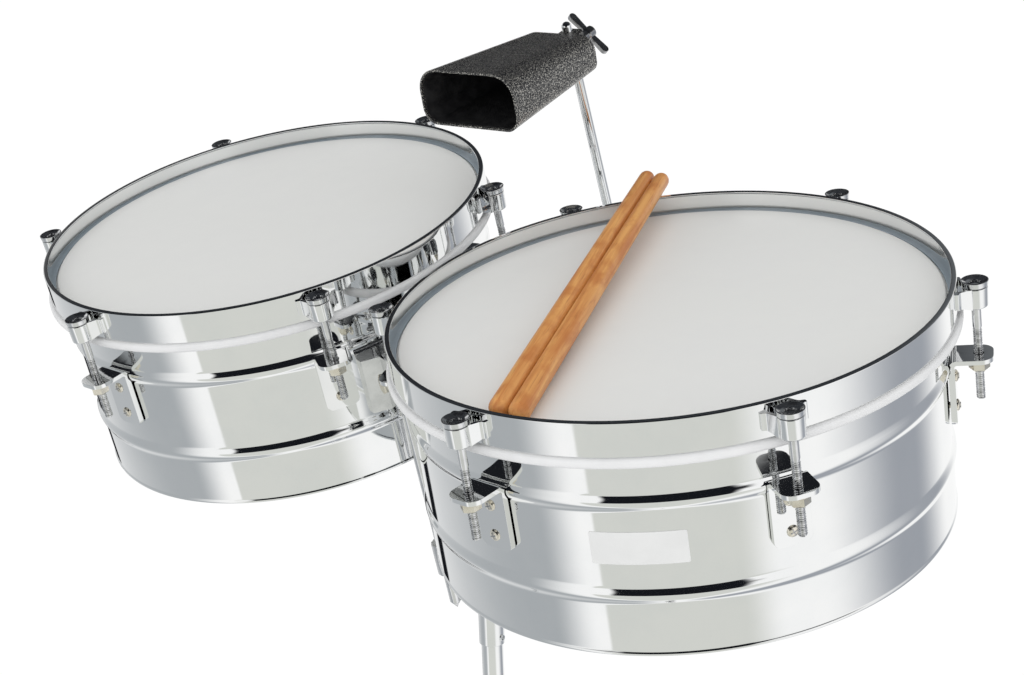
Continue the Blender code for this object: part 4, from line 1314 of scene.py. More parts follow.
        def fold(point: Vector) -> Vector:
            """Bend the flat bar from the shell's wall into the shelf, clear of the shell's bead.

            Args:
                point: A point of the flat bar.

            Returns:
                Where it goes in a lug's frame.
            """
            along, across, deep = point
            angle = min(max(along / bend, 0.0), math.pi / 2)
            reach = bend - deep * (1 - thinned * angle / (math.pi / 2))
            x = back + bend - reach * math.cos(angle) + max(along - quarter, 0.0)
            z = top - bend + reach * math.sin(angle) + min(along, 0.0)
            bead = self.swell(min(abs(z + self.bead_drops[0]) / self.bead_half, 1.0)) - self.lug_reach
            return Vector((max(x, bead + CLEARANCE), across, z))

        cuts = [quarter * i / ARC_STEPS for i in range(-ARC_STEPS, ARC_STEPS + 1)]
        return plate(outline, 0, self.bracket_sheet, None, (bore,), self.bracket_soft, cuts, fold)

    def nut(self) -> bpy.types.Mesh:
        """A flanged hexagon nut under a shelf.

        Returns:
            The mesh in a lug's frame.
        """
        nut = self.nuts
        top = self.shelf_top - self.bracket_shelf
        edge, cone, end = (top - drop for drop in (nut.flange_drop, nut.cone_drop, nut.end_drop))
        bore = self.rods.radius + nut.thread_gap
        flange = filleted([(bore, top), (nut.flange, top, CRISP), (nut.flange_low, edge, EASED),
                           (nut.cone, cone), (bore, cone)])
        body = filleted([(bore, edge), (nut.hexagon, edge), (nut.hexagon, top - nut.shoulder_drop, KEEN),
                         (nut.end, end, CRISP), (bore, end)])
        return joined(turned(flange, ROUND_SEGMENTS), turned(body, HEXAGON, crease=HEXAGON_CREASE))

    def screw_places(self) -> list[Matrix]:
        """Frames on a bracket's face, one for each screw, with Z pointing out.

        Returns:
            The frames in a lug's frame.
        """
        face = self.bracket_back + self.bracket_sheet
        turn = Matrix.Rotation(math.pi / 2, 4, "Y")
        return [Matrix.Translation((face, 0, self.shelf_top - drop)) @ turn
                for drop in self.screw_sizes.drops]

    def screws(self) -> bpy.types.Mesh:
        """The two screws of a bracket, through the shell to nuts inside it.

        Returns:
            The mesh in a lug's frame.
        """
        screw = self.screw_sizes
        inner = -self.lug_reach - self.wall - self.bracket_back - self.bracket_sheet
        end = inner - screw.nut_height
        shank = [(0.0, end), *filleted([
            (screw.nut_end, end, KEEN), (screw.nut, inner - screw.nut_shoulder), (screw.nut, inner),
            (screw.shank, inner), (screw.shank, -screw.sink), (screw.head, -screw.sink), (screw.head, 0.0)],
            closed=False)]
        dome = [(screw.head * math.cos(a), screw.dome * math.sin(a)) for a in quarter_turn()[1:-1]]
        profile = [*shank, *dome, (0.0, screw.dome)]
        return joined(*[turned(profile, SMALL_SEGMENTS, place) for place in self.screw_places()])

    def recesses(self) -> bpy.types.Mesh:
        """Dark cross blades set into the screws' heads: painted shade standing in for the hollow of each cross
        recess.

        Returns:
            The mesh in a lug's frame.
        """
        screw = self.screw_sizes
        low = (-screw.recess_half, -screw.recess_half_width, -screw.recess_depth)
        high = (screw.recess_half, screw.recess_half_width, screw.recess_proud)
        # Solid dark blades, not hollows: painted shade where each screw's cross recess would be
        blades = []
        for place in self.screw_places():
            for turn in screw.recess_turns:
                blade = place @ Matrix.Translation((0, 0, screw.dome)) @ Matrix.Rotation(turn, 4, "Z")
                blades.append(block(low, high, blade, screw.recess_soft))
        return joined(*blades)

    def tension_rods(self) -> None:
        """The tension rods, each on its own body."""
        pattern = self.tension_rod()
        for i in range(self.lugs):
            turn = Matrix.Rotation(self.first_lug + math.tau * i / self.lugs, 4, "Z")
            place = self.frame @ turn @ Matrix.Translation((self.radius + self.lug_reach, 0, 0))
            set_piece(f"tension_rod_look_{self.name}_{i + 1}", moved(pattern, place), STEEL,
                      f"tuner_{self.name}_{i + 1}", f"tension_rod_{self.name}_{i + 1}")

    def tension_rod(self) -> bpy.types.Mesh:
        """A tension rod: a dished head with a key socket, a plain neck and a thread.

        Returns:
            The mesh in a lug's frame.
        """
        rod = self.rods
        top = -rod.head_drop
        under = top - rod.head_height
        root = rod.radius - rod.thread_ridge
        start = rod.thread_end - rod.end_drop
        profile = [(0, top - rod.socket_drop)]
        profile += filleted([
            (rod.socket, top - rod.socket_drop, CRISP),
            (rod.socket_mouth, top - rod.socket_mouth_drop, CRISP),
            (rod.dish, top - rod.dish_drop, ROUND),
            (rod.rim_share * rod.head, top, CRISP), (rod.head, top, KEEN),
            (rod.belly_share * rod.head, top - rod.belly_drop, ROUND),
            (rod.under_share * rod.head, under, KEEN),
            (rod.radius, under, KEEN), (rod.radius, rod.thread_start - rod.thread_drop),
            (root, -rod.thread_drop), (root, start, CRISP), (rod.end_share * root, -rod.end_drop)],
            closed=False)
        profile.append((0, -rod.end_drop))
        values = {"Radius": root, "Ridge": rod.thread_ridge, "Pitch": rod.thread_pitch,
                  "Length": rod.end_drop - rod.thread_drop - rod.thread_short, "Material": STEEL.material()}
        ridge = grown(bpy.data.meshes.new("start"), kept_tree("Screw thread", thread_tree), values)
        ridge.transform(Matrix.Translation((0, 0, start)))
        return joined(turned(profile, ROUND_SEGMENTS), ridge)

    def mount(self) -> None:
        """The saddle on the shell and its hexagon bolt."""
        saddle = f"mount_bracket_{self.name}"
        set_piece(f"mount_look_{self.name}", eased_copy(saddle, PLUMP), STEEL, self.body, saddle)
        place = spun_frame(f"key_turn_{self.name}", Z_AXIS)
        key = self.key
        foot, end, over = (key.seat + up for up in (key.foot_height, key.end_height, key.washer_height))
        head = filleted([(0, key.tip), (key.shank, key.tip), (key.shank, foot), (key.foot, foot),
                         *[(key.hexagon, key.seat + flat) for flat in key.flats], (key.end, end, CRISP),
                         (0, end)], closed=False)
        washer = filleted([(key.washer_bore, key.seat), (key.washer, key.seat, HAIR),
                           (key.washer, over, HAIR), (key.washer_bore, over)])
        mesh = joined(turned(head, HEXAGON, place, HEXAGON_CREASE), turned(washer, SMALL_SEGMENTS, place))
        set_piece(f"key_look_{self.name}", mesh, NICKEL, f"key_{self.name}", f"key_bolt_{self.name}")

    def label(self) -> None:
        """A blank label on the front of the shell."""
        half = self.radius * self.label_half_angle
        low, high = -self.label_drops[1], -self.label_drops[0]
        places = ((-half, low), (half, low), (half, high), (-half, high))
        outline = filleted([(x, z, self.label_corner) for x, z in places])

        def wrap(point: Vector) -> Vector:
            """Lay the flat label round the shell.

            Args:
                point: A point of the flat label, with Z out from the shell.

            Returns:
                Where it goes in the drum's frame.
            """
            angle = self.label_angle + point.x / self.radius
            reach = self.radius + point.z
            return Vector((reach * math.cos(angle), reach * math.sin(angle), point.y))

        cuts = [half * (i / ARC_STEPS - 1) for i in range(1, 2 * ARC_STEPS)]
        mesh = plate(outline, *self.label_faces, self.frame, (), self.label_soft, cuts, wrap)
        set_piece(f"blank_label_{self.name}", mesh, LABEL, self.body)


# Bolts


@dataclass
class WingBolt:
    """A wing bolt on its own body, with its axis along the joint's.

    The shares are of the boss's radius. The wings' low, peak, width and dip are shares of the root's height.
    """

    name: str
    joint_name: str
    body: str
    node: str
    finish: Finish
    wings_along: Vector
    tip: float
    seat: float
    neck: float = 0.0
    reach: float = 0.016
    shank: float = 0.003
    boss: float = 0.0052
    root: float = 0.008
    sheet: float = 0.0035
    soft: float = PLUMP
    foot_share: float = 0.92
    neck_share: float = 0.78
    top_share: float = 0.94
    neck_rise: float = 0.0004
    boss_rise: float = 0.0016
    dome: float = 0.0002
    web_share: float = 0.4
    wing_rise: float = 0.0012
    wing_low: float = 0.45
    wing_peak: float = 0.5
    wing_width: float = 0.55
    wing_dip: float = 0.15
    wing_rounds: tuple[float, float, float] = (0.0024, 0.0034, 0.002)

    def build(self) -> None:
        """Build the bolt and hang it on its body."""
        place = spun_frame(self.joint_name, self.wings_along)
        seat = self.seat + CLEARANCE
        low = seat + self.neck
        top = low + self.root
        profile = [(0, self.tip)]
        profile += filleted([(self.shank, self.tip, CRISP), (self.shank, seat, HAIR),
                             (self.foot_share * self.boss, seat, KEEN),
                             (self.neck_share * self.boss, low + self.neck_rise, EASED),
                             (self.boss, low + self.boss_rise, EASED),
                             (self.top_share * self.boss, top, BROAD)], closed=False)
        profile.append((0, top + self.dome))
        parts = [turned(profile, SMALL_SEGMENTS, place)]
        for side in (1, -1):
            outline = [(side * x, y) for x, y in self.wing(low, top)]
            parts.append(plate(outline, -0.5 * self.sheet, 0.5 * self.sheet, place @ TO_XZ, soft=self.soft))
        set_piece(self.name, joined(*parts), self.finish, self.body, self.node)

    def wing(self, low: float, top: float) -> list[tuple[float, float]]:
        """The outline of the wing on +X.

        Args:
            low: Where the wings' part of the boss starts.
            top: Where the boss ends.

        Returns:
            Points (distance from the axis, height).
        """
        inner = self.web_share * self.boss
        start = low + self.wing_rise
        peak = top + self.wing_peak * self.root
        dip = top - self.wing_dip * self.root
        outer, tip, hollow = self.wing_rounds
        return filleted([
            (inner, start), (self.boss, start, ROUND), (self.reach, low + self.wing_low * self.root, outer),
            (self.reach, peak, tip), (self.reach - self.wing_width * self.root, peak, tip),
            (self.boss, dip, hollow), (inner, dip)])


@dataclass
class BarBolt(WingBolt):
    """A bolt with a slender round-ended bar across its boss in place of wings.

    The bar's root and round are shares of its half height.
    """

    soft: float = BROAD
    bar_half: float = 0.0035
    bar_root: float = 0.6
    bar_round: float = 0.95

    def wing(self, low: float, top: float) -> list[tuple[float, float]]:
        """The outline of the bar's half on +X.

        Args:
            low: Where the bar's part of the boss would start; not used.
            top: Where the boss ends.

        Returns:
            Points (distance from the axis, height).
        """
        inner, middle, half = self.web_share * self.boss, top - 0.5 * self.root, self.bar_half
        return filleted([
            (inner, middle - self.bar_root * half), (self.reach, middle - half, self.bar_round * half),
            (self.reach, middle + half, self.bar_round * half), (inner, middle + self.bar_root * half)])


# Stand


@dataclass
class Stand:
    """The stand's head, tilting arms, tubes and bolts."""

    sleeve_radius: float = 0.0103
    sleeve_cap: float = 0.012
    tongue_half: float = 0.004
    tongue_radius: float = 0.014
    tube_radius: float = 0.00875
    tube_wall: float = 0.00175
    post_radius: float = 0.011
    hub_radius: float = 0.017
    collar_radius: float = 0.016
    sleeve_top: float = 0.643
    sleeve_bottom: float = 0.5767
    sleeve_round: float = 0.002
    sleeve_fit: float = 0.0001
    tongue_root: float = 0.8
    tongue_hole: float = 0.0033
    tongue_arc: tuple[float, float] = (-10, 200)
    tongue_steps: int = 24
    screw_rise: float = 0.0065
    screw_sink: float = 0.0004
    screw_head: float = 0.0028
    screw_top: float = 0.0026
    screw_height: float = 0.0016
    screw_mouth: float = 0.0015
    screw_socket: tuple[float, float] = (0.0014, 0.0004)
    screw_floor: float = 0.0002
    tilt_cheek: float = 0.009
    tilt_bolt_neck: float = 0.010
    collar_bolt_reach: float = 0.0105

    def __post_init__(self) -> None:
        """Read the post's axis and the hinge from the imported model."""
        low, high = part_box("upper_tube")
        self.post = Vector(((low.x + high.x) / 2, (low.y + high.y) / 2, 0))
        self.hinge = Vector(joint("tilt_large")["pos_m"])

    def build(self) -> None:
        """Build all of the stand's pieces."""
        self.head()
        self.tubes()
        for name in ("large", "small"):
            node = f"tilt_arm_{name}"
            set_piece(f"tilt_look_{name}", eased_copy(node, PLUMP), STEEL, f"tilter_{name}", node)
        reach = self.tongue_half + CLEARANCE + self.tilt_cheek
        WingBolt("tilt_bolt_look", "tilt_bolt_turn", "tilt_bolt", "tilt_wing_bolt", STEEL, Z_AXIS,
                 -reach, reach, self.tilt_bolt_neck).build()
        WingBolt("height_bolt_look", "height_bolt_turn", "height_bolt", "height_wing_bolt", STEEL, Z_AXIS,
                 self.tube_radius + CLEARANCE, self.hub_radius).build()
        WingBolt("collar_bolt_look", "collar_bolt_turn", "collar_bolt", "collar_wing_bolt", STEEL, Z_AXIS,
                 self.post_radius + CLEARANCE, self.collar_radius, reach=self.collar_bolt_reach).build()

    def head(self) -> None:
        """The socket on the upper tube, with its tongue and clamp screw."""
        place = Matrix.Translation(self.post)
        inside = self.tube_radius + self.sleeve_fit
        roof = self.sleeve_top - self.sleeve_cap
        profile = [(0, self.sleeve_top)]
        profile += filleted([(self.sleeve_radius, self.sleeve_top, self.sleeve_round),
                             (self.sleeve_radius, self.sleeve_bottom, SOFT),
                             (inside, self.sleeve_bottom, KEEN), (inside, roof)])
        profile.append((0, roof))
        parts = [turned(profile, ROUND_SEGMENTS, place)]
        forward = self.hinge.y - self.post.y
        first, sweep = self.tongue_arc
        arc = [math.radians(first + sweep * i / self.tongue_steps) for i in range(self.tongue_steps + 1)]
        eye = [(forward + self.tongue_radius * math.cos(a), self.hinge.z + self.tongue_radius * math.sin(a))
               for a in arc]
        root = self.sleeve_top - self.sleeve_cap / 2
        wide = self.tongue_root * self.sleeve_radius
        hole = circle_points(self.tongue_hole, SMALL_SEGMENTS, (forward, self.hinge.z))
        parts.append(plate([*eye, (-wide, root), (wide, root)], -self.tongue_half, self.tongue_half,
                           place @ TO_YZ, (hole,), SOFT))
        side = Vector((self.sleeve_radius - self.screw_sink, 0, self.sleeve_bottom + self.screw_rise))
        cap = filleted([(0, self.screw_floor), self.screw_socket, (self.screw_mouth, self.screw_height),
                        (self.screw_top, self.screw_height, FINE), (self.screw_head, -self.screw_sink)],
                       closed=False)
        screw = axes(Z_AXIS, X_AXIS, self.post + side)
        parts.append(turned([*cap, (0, -self.screw_sink)], SMALL_SEGMENTS, screw))
        set_piece("head_sleeve_look", joined(*parts), CHROME, "mast", "head_sleeve")

    def tubes(self) -> None:
        """The upper and lower tubes."""
        place = Matrix.Translation(self.post)
        for node, body, wide, inner in (
                ("upper_tube", "mast", self.tube_radius, self.tube_radius - self.tube_wall),
                ("lower_tube", "stand_base", self.post_radius, self.tube_radius + CLEARANCE)):
            low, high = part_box(node)
            profile = filleted([(inner, low.z, CRISP), (wide, low.z, EASED), (wide, high.z, EASED),
                                (inner, high.z, CRISP)])
            set_piece(f"{node}_look", turned(profile, ROUND_SEGMENTS, place), CHROME, body, node)


@dataclass
class Tripod:
    """The folding legs, their hub, braces, collar and rubber feet.

    The foot's top, waist and flare and the ribs' hollow are shares of the foot's radius, its belt is a share
    of its length, and the ribs' stops are shares of a rib. The neck's pairs are shares of the tube's radius
    and drops, where the tube is pressed flat.
    """

    count: int = 3
    pivot_radius: float = 0.030
    spread: float = 0.330
    tube: float = 0.007
    tongue: float = 0.005
    tongue_length: float = 0.032
    brace_length: float = 0.140
    brace_half: float = 0.006
    brace_sheet: float = 0.004
    pin: float = 0.0025
    pivot_pin: float = 0.003
    foot_radius: float = 0.011
    foot_length: float = 0.048
    foot_sole: float = 0.014
    foot_ribs: int = 5
    foot_top: float = 0.80
    foot_waist: float = 0.88
    foot_waist_drop: float = 0.010
    foot_waist_round: float = 0.002
    foot_flare: float = 0.9
    foot_flare_rise: float = 0.004
    foot_belt: float = 0.55
    rib_stretch: float = 0.6
    rib_hollow: float = 0.92
    rib_stops: tuple[float, float, float] = (0.6, 0.7, 0.9)
    neck_start: float = 0.6
    neck: tuple[tuple[float, float], ...] = ((1.0, 0.006), (0.92, 0.002), (0.55, 0.0))
    brace_waist: float = 0.82
    brace_pads: tuple[float, float] = (0.010, 0.020)
    tongue_steps: int = 12
    brace_steps: int = 10

    def build(self) -> None:
        """Build the hub, the collar and every leg."""
        set_piece("leg_hub_look", eased_copy("leg_hub", ROUND), CHROME, "stand_base", "leg_hub")
        set_piece("brace_collar_look", eased_copy("brace_collar", ROUND), CHROME, "collar", "brace_collar")
        for i in range(1, self.count + 1):
            self.leg(i)

    def leg(self, i: int) -> None:
        """One leg with its foot and brace.

        Args:
            i: The leg's number, from 1.
        """
        pivot = Vector(joint(f"leg_fold_{i}")["pos_m"])
        low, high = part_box("lower_tube")
        out = Vector((pivot.x - (low.x + high.x) / 2, pivot.y - (low.y + high.y) / 2, 0)).normalized()
        slope = math.atan2(self.spread - self.pivot_radius, pivot.z)
        length = math.hypot(self.spread - self.pivot_radius, pivot.z)
        place = axes(out, Z_AXIS, pivot) @ Matrix.Rotation(-slope, 4, "Y")
        self.leg_tube(i, place, length)
        self.foot(i, place, length, slope)
        fold = Matrix.Translation((0, 0, -self.brace_length)) @ Matrix.Rotation(2 * slope, 4, "Y")
        self.brace(i, place @ fold)

    def leg_tube(self, i: int, place: Matrix, length: float) -> None:
        """A leg's tube, the flattened tongue at its pivot and the brace's rivet.

        Args:
            i: The leg's number.
            place: The leg's frame, with the leg along -Z.
            length: From the pivot to the floor.
        """
        foot_end = self.foot_sole - length
        start = -self.neck_start * self.tongue_length
        neck = [(share * self.tube, start - drop) for share, drop in self.neck]
        profile = [(0, foot_end), *filleted([(self.tube, foot_end, EASED), *neck], closed=False), (0, start)]
        width = self.tube
        arc = [math.pi * k / self.tongue_steps for k in range(self.tongue_steps + 1)]
        round_end = [(width * math.cos(a), width * math.sin(a)) for a in arc]
        outline = [*round_end, (-width, -self.tongue_length), (width, -self.tongue_length)]
        hole = circle_points(self.pivot_pin + CLEARANCE, SMALL_SEGMENTS)
        tongue = plate(outline, -self.tongue / 2, self.tongue / 2, place @ TO_XZ, (hole,), SOFT)
        head = self.tube + CLEARANCE + self.brace_sheet
        rivet = axes(X_AXIS, Y_AXIS, Vector((0, 0, -self.brace_length)))
        shank = filleted([(0, 0), (self.pin, 0), (self.pin, head, EASED), (0, head)], closed=False)
        parts = [turned(profile, ROUND_SEGMENTS, place), tongue, turned(shank, SMALL_SEGMENTS, place @ rivet)]
        set_piece(f"leg_look_{i}", joined(*parts), CHROME, f"limb_{i}", f"leg_{i}")

    def foot(self, i: int, place: Matrix, length: float, slope: float) -> None:
        """A ribbed rubber foot, cut flat on the floor.

        Args:
            i: The leg's number.
            place: The leg's frame.
            length: From the pivot to the floor.
            slope: The leg's angle from the post.
        """
        socket = self.tube + CLEARANCE
        top = self.foot_length - length
        belt = self.foot_belt * self.foot_length - length
        rib = (belt + length) * self.rib_stretch / self.foot_ribs
        wide, hollow = self.foot_radius, self.rib_hollow * self.foot_radius
        outside = [(socket, top), (self.foot_top * wide, top, SOFT),
                   (self.foot_waist * wide, top - self.foot_waist_drop, self.foot_waist_round),
                   (self.foot_flare * wide, belt + self.foot_flare_rise)]
        for k in range(self.foot_ribs):
            z = belt - k * rib
            crest, start, end = (z - stop * rib for stop in self.rib_stops)
            outside += [(wide, z, EASED), (wide, crest, EASED), (hollow, start, CRISP), (hollow, end, CRISP)]
        sole = -self.foot_sole - length
        outside += [(wide, belt - self.foot_ribs * rib, EASED), (wide, sole)]
        floor = self.foot_sole - length - CLEARANCE
        profile = [(0, sole), *filleted(outside, 3, False)[::-1], (socket, floor), (0, floor)]
        shape = bmesh.new()
        shape.from_mesh(turned(profile, ROUND_SEGMENTS))
        normal = Vector((math.sin(slope), 0, math.cos(slope)))
        whole = shape.verts[:] + shape.edges[:] + shape.faces[:]
        bmesh.ops.bisect_plane(shape, geom=whole, plane_co=(0, 0, -length), plane_no=-normal,
                               clear_outer=True)
        bmesh.ops.edgeloop_fill(shape, edges=[edge for edge in shape.edges if edge.is_boundary])
        set_piece(f"foot_look_{i}", finished(shape, place), RUBBER, f"limb_{i}", f"foot_{i}")

    def brace(self, i: int, place: Matrix) -> None:
        """A flat brace with pressed ends.

        Args:
            i: The leg's number.
            place: The brace's frame, with the brace along -Z.
        """
        half, length = self.brace_half, self.brace_length
        arc = [math.pi * k / self.brace_steps for k in range(self.brace_steps + 1)]
        pad, waist = self.brace_pads
        narrow = self.brace_waist * half
        side = [(half, -pad), (narrow, -waist), (narrow, waist - length), (half, pad - length)]
        outline = [(half * math.cos(a), half * math.sin(a)) for a in arc]
        outline += [(-x, z) for x, z in side]
        outline += [(-half * math.cos(a), -length - half * math.sin(a)) for a in arc]
        outline += side[::-1]
        hole = circle_points(self.pin + CLEARANCE, SMALL_SEGMENTS)
        near = self.tube + CLEARANCE
        mesh = plate(outline, -near - self.brace_sheet, -near, place @ TO_XZ, (hole,), EASED)
        set_piece(f"brace_look_{i}", mesh, CHROME, f"strut_{i}", f"brace_{i}")


# Cowbell


@dataclass
class Cowbell:
    """The cowbell, its bent arm, its clamp and its bolts.

    The corner and the crown are the lower and the upper corners' radii as shares of the section's height.
    """

    arm_radius: float = 0.004
    arm_reach: float = 0.218
    arm_rise: float = 0.384
    arm_bend: float = 0.025
    below_tip: float = 0.020
    droop: float = math.radians(5.8)
    length: float = 0.116
    mouth: tuple[float, float] = (0.0925, 0.0435)
    end: tuple[float, float] = (0.068, 0.029)
    wall: float = 0.0016
    corner: float = 0.28
    crown: float = 0.42
    end_round: float = 0.004
    rings: int = 12
    shade_sheet_insets: tuple[float, float] = (0.0001, 0.0005)
    shade_sheet_reach: float = 0.985
    eye_half: float = 0.010
    eye_sink: float = 0.0012
    eye_shoulder: float = 0.6
    eye_round: float = 0.003
    clamp_half: float = 0.009
    bolt_neck: float = 0.009
    bolt_reach: float = 0.021
    wing_turn: float = math.radians(46.0)
    tip_arc: float = 88.0

    def __post_init__(self) -> None:
        """Read the swivel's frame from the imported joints."""
        self.swivel = spun_frame("bell_swivel", X_AXIS)
        foot = Vector((0, -self.arm_reach, self.below_tip - self.arm_rise))
        self.arm_frame = self.swivel @ Matrix.Translation(foot)

    def build(self) -> None:
        """Build the bell, the arm, the clamp and the bolts."""
        self.bell()
        self.arm()
        set_piece("bell_clamp_look", eased_copy("cowbell_clamp", BROAD), STEEL, "clamp", "cowbell_clamp")
        turn = self.swivel.to_3x3()
        WingBolt("arm_bolt_look", "arm_bolt_turn", "arm_bolt", "cowbell_arm_bolt", STEEL, turn @ Z_AXIS,
                 self.arm_radius + CLEARANCE, self.clamp_half).build()
        wings = turn @ Vector((math.cos(self.wing_turn), 0, -math.sin(self.wing_turn)))
        BarBolt("bell_bolt_look", "bell_bolt_turn", "bell_bolt", "cowbell_wing_bolt", BLACKENED, wings,
                self.arm_radius + CLEARANCE, self.eye_half, self.bolt_neck, self.bolt_reach).build()

    def arm(self) -> None:
        """The arm: a bar bent square, with a rounded tip."""
        bend = self.arm_bend
        path = [Vector((0, CLEARANCE, 0)), Vector((0, CLEARANCE + EASED, 0))]
        radii = [self.arm_radius - EASED, self.arm_radius]
        for angle in quarter_turn(2 * ARC_STEPS):
            along = self.arm_reach - bend + bend * math.sin(angle)
            path.append(Vector((0, along, bend - bend * math.cos(angle))))
            radii.append(self.arm_radius)
        for k in range(ARC_STEPS + 1):
            angle = math.radians(self.tip_arc * k / ARC_STEPS)
            path.append(Vector((0, self.arm_reach, self.arm_rise - self.arm_radius * (1 - math.sin(angle)))))
            radii.append(self.arm_radius * math.cos(angle))
        mesh = swept(path, radii, SMALL_SEGMENTS, self.arm_frame)
        set_piece("bell_arm_look", mesh, CHROME, "bell_arm", "cowbell_arm")

    def section(self, width: float, height: float, inset: float, y: float) -> list[Vector]:
        """A section across the bell's axis, rounder at the top than below.

        Args:
            width: The outside's width.
            height: The outside's height.
            inset: How far inside the outside the section runs.
            y: Its place along the axis.

        Returns:
            The section's points.
        """
        points = []
        for i, (sx, sz) in enumerate(((1, 1), (-1, 1), (-1, -1), (1, -1))):
            corner = height * (self.crown if sz > 0 else self.corner)
            reach = corner - inset
            for angle in quarter_turn(start=90 * i):
                points.append(Vector((sx * (width / 2 - corner) + reach * math.cos(angle), y,
                                      sz * (height / 2 - corner) + reach * math.sin(angle))))
        return points

    def run(self, inset: float, reach: float = 1.0) -> list[list[Vector]]:
        """Sections from the closed end towards the mouth.

        Args:
            inset: How far inside the outside they run.
            reach: How much of the way to the mouth they go.

        Returns:
            The sections.
        """
        start = -self.eye_half - self.end_round
        mouth = -self.eye_half - self.length
        sections = []
        for k in range(self.rings + 1):
            share = reach * k / self.rings
            width, height = (near + (far - near) * share for near, far in zip(self.end, self.mouth))
            sections.append(self.section(width, height, inset, start + (mouth - start) * share))
        return sections

    def bell(self) -> None:
        """The bell: a tapered folded shell, open at its mouth, with a black sheet inside as painted shade and
        a clamping eye.
        """
        cap = []
        for angle in quarter_turn(ARC_STEPS // 2):
            inset = self.end_round * (1 - math.sin(angle))
            place = -self.eye_half - self.end_round * (1 - math.cos(angle))
            cap.append(self.section(*self.end, inset, place))
        turn = self.swivel @ Matrix.Rotation(-self.droop, 4, "X")
        shell = tube_of(cap + self.run(0.0)[1:] + self.run(self.wall)[::-1], turn, FOLDED_CREASE)
        # A near-black sheet just inside the shell is painted shade: it darkens the bell's inside where little
        # light reaches
        outer, inner = (self.run(self.wall + inset, self.shade_sheet_reach) for inset in self.shade_sheet_insets)
        set_piece("bell_lining", tube_of(outer + inner[::-1], turn, FOLDED_CREASE), INSIDE_SHADE, "bell")
        half, low = self.eye_half, -self.eye_half - self.eye_sink
        shoulder, curve = self.eye_shoulder * half, self.eye_round
        strap = [(-half, low), (half, low), (half, shoulder, curve), (shoulder, half, curve),
                 (-shoulder, half, curve), (-half, shoulder, curve)]
        hole = circle_points(self.arm_radius + CLEARANCE, SMALL_SEGMENTS)
        eye = plate(filleted(strap), -half, half, self.swivel, (hole,), SOFT)
        set_piece("bell_look", joined(shell, eye), PAINT, "bell", "cowbell")


# Sticks


@dataclass
class Sticks:
    """The two sticks on the large drum."""

    count: int = 2
    butt_radius: float = 0.0071
    tip_radius: float = 0.0061
    end: float = 0.0078
    grain_shift: tuple[float, float, float] = (0.013, 0.031, 0.21)

    def build(self) -> None:
        """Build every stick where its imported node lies."""
        for i in range(1, self.count + 1):
            self.stick(i)

    def stick(self, i: int) -> None:
        """One turned stick with rounded ends, a little thinner at its tip, and a grain attribute.

        Args:
            i: The stick's number, from 1.
        """
        points = [vertex.co.copy() for vertex in frame["nodes"][f"stick_{i}"].data.vertices]
        along = max(points, key=lambda p: p.y) - min(points, key=lambda p: p.y)
        low = min(points, key=along.dot)
        high = max(points, key=along.dot)
        length = (high - low).length
        arc = quarter_turn()
        butt = [(self.butt_radius * math.sin(a), self.end * (1 - math.cos(a))) for a in arc]
        tip = [(self.tip_radius * math.sin(a), length - self.end * (1 - math.cos(a))) for a in arc[::-1]]
        taper = self.tip_radius - self.butt_radius
        shaft = [(self.butt_radius + taper * k / ARC_STEPS, length * k / ARC_STEPS)
                 for k in range(1, ARC_STEPS)]
        mesh = turned(butt + shaft + tip, ROUND_SEGMENTS)
        grain = mesh.attributes.new("grain", "FLOAT_VECTOR", "POINT")
        shift = Vector([step * i for step in self.grain_shift])
        for vertex, mark in zip(mesh.vertices, grain.data):
            mark.vector = vertex.co + shift
        mesh.transform(axes(X_AXIS, high - low, low))
        set_piece(f"stick_look_{i}", mesh, WOOD, f"loose_stick_{i}", f"stick_{i}")


# Studio


@dataclass(frozen=True)
class Panel:
    """A panel round the set that polished metal mirrors, by direction in degrees.

    Azimuth 0 is the player's side (-Y) and grows towards +X. The four stops of each row are where the panel
    starts, is full, stops being full and ends.
    """

    colour: tuple[float, float, float]
    across: tuple[float, float, float, float]
    up: tuple[float, float, float, float]


@dataclass(frozen=True)
class Lamp:
    """A soft square lamp that polished metal doesn't mirror, with its power in watts."""

    name: str
    place: tuple[float, float, float]
    size: float
    power: float


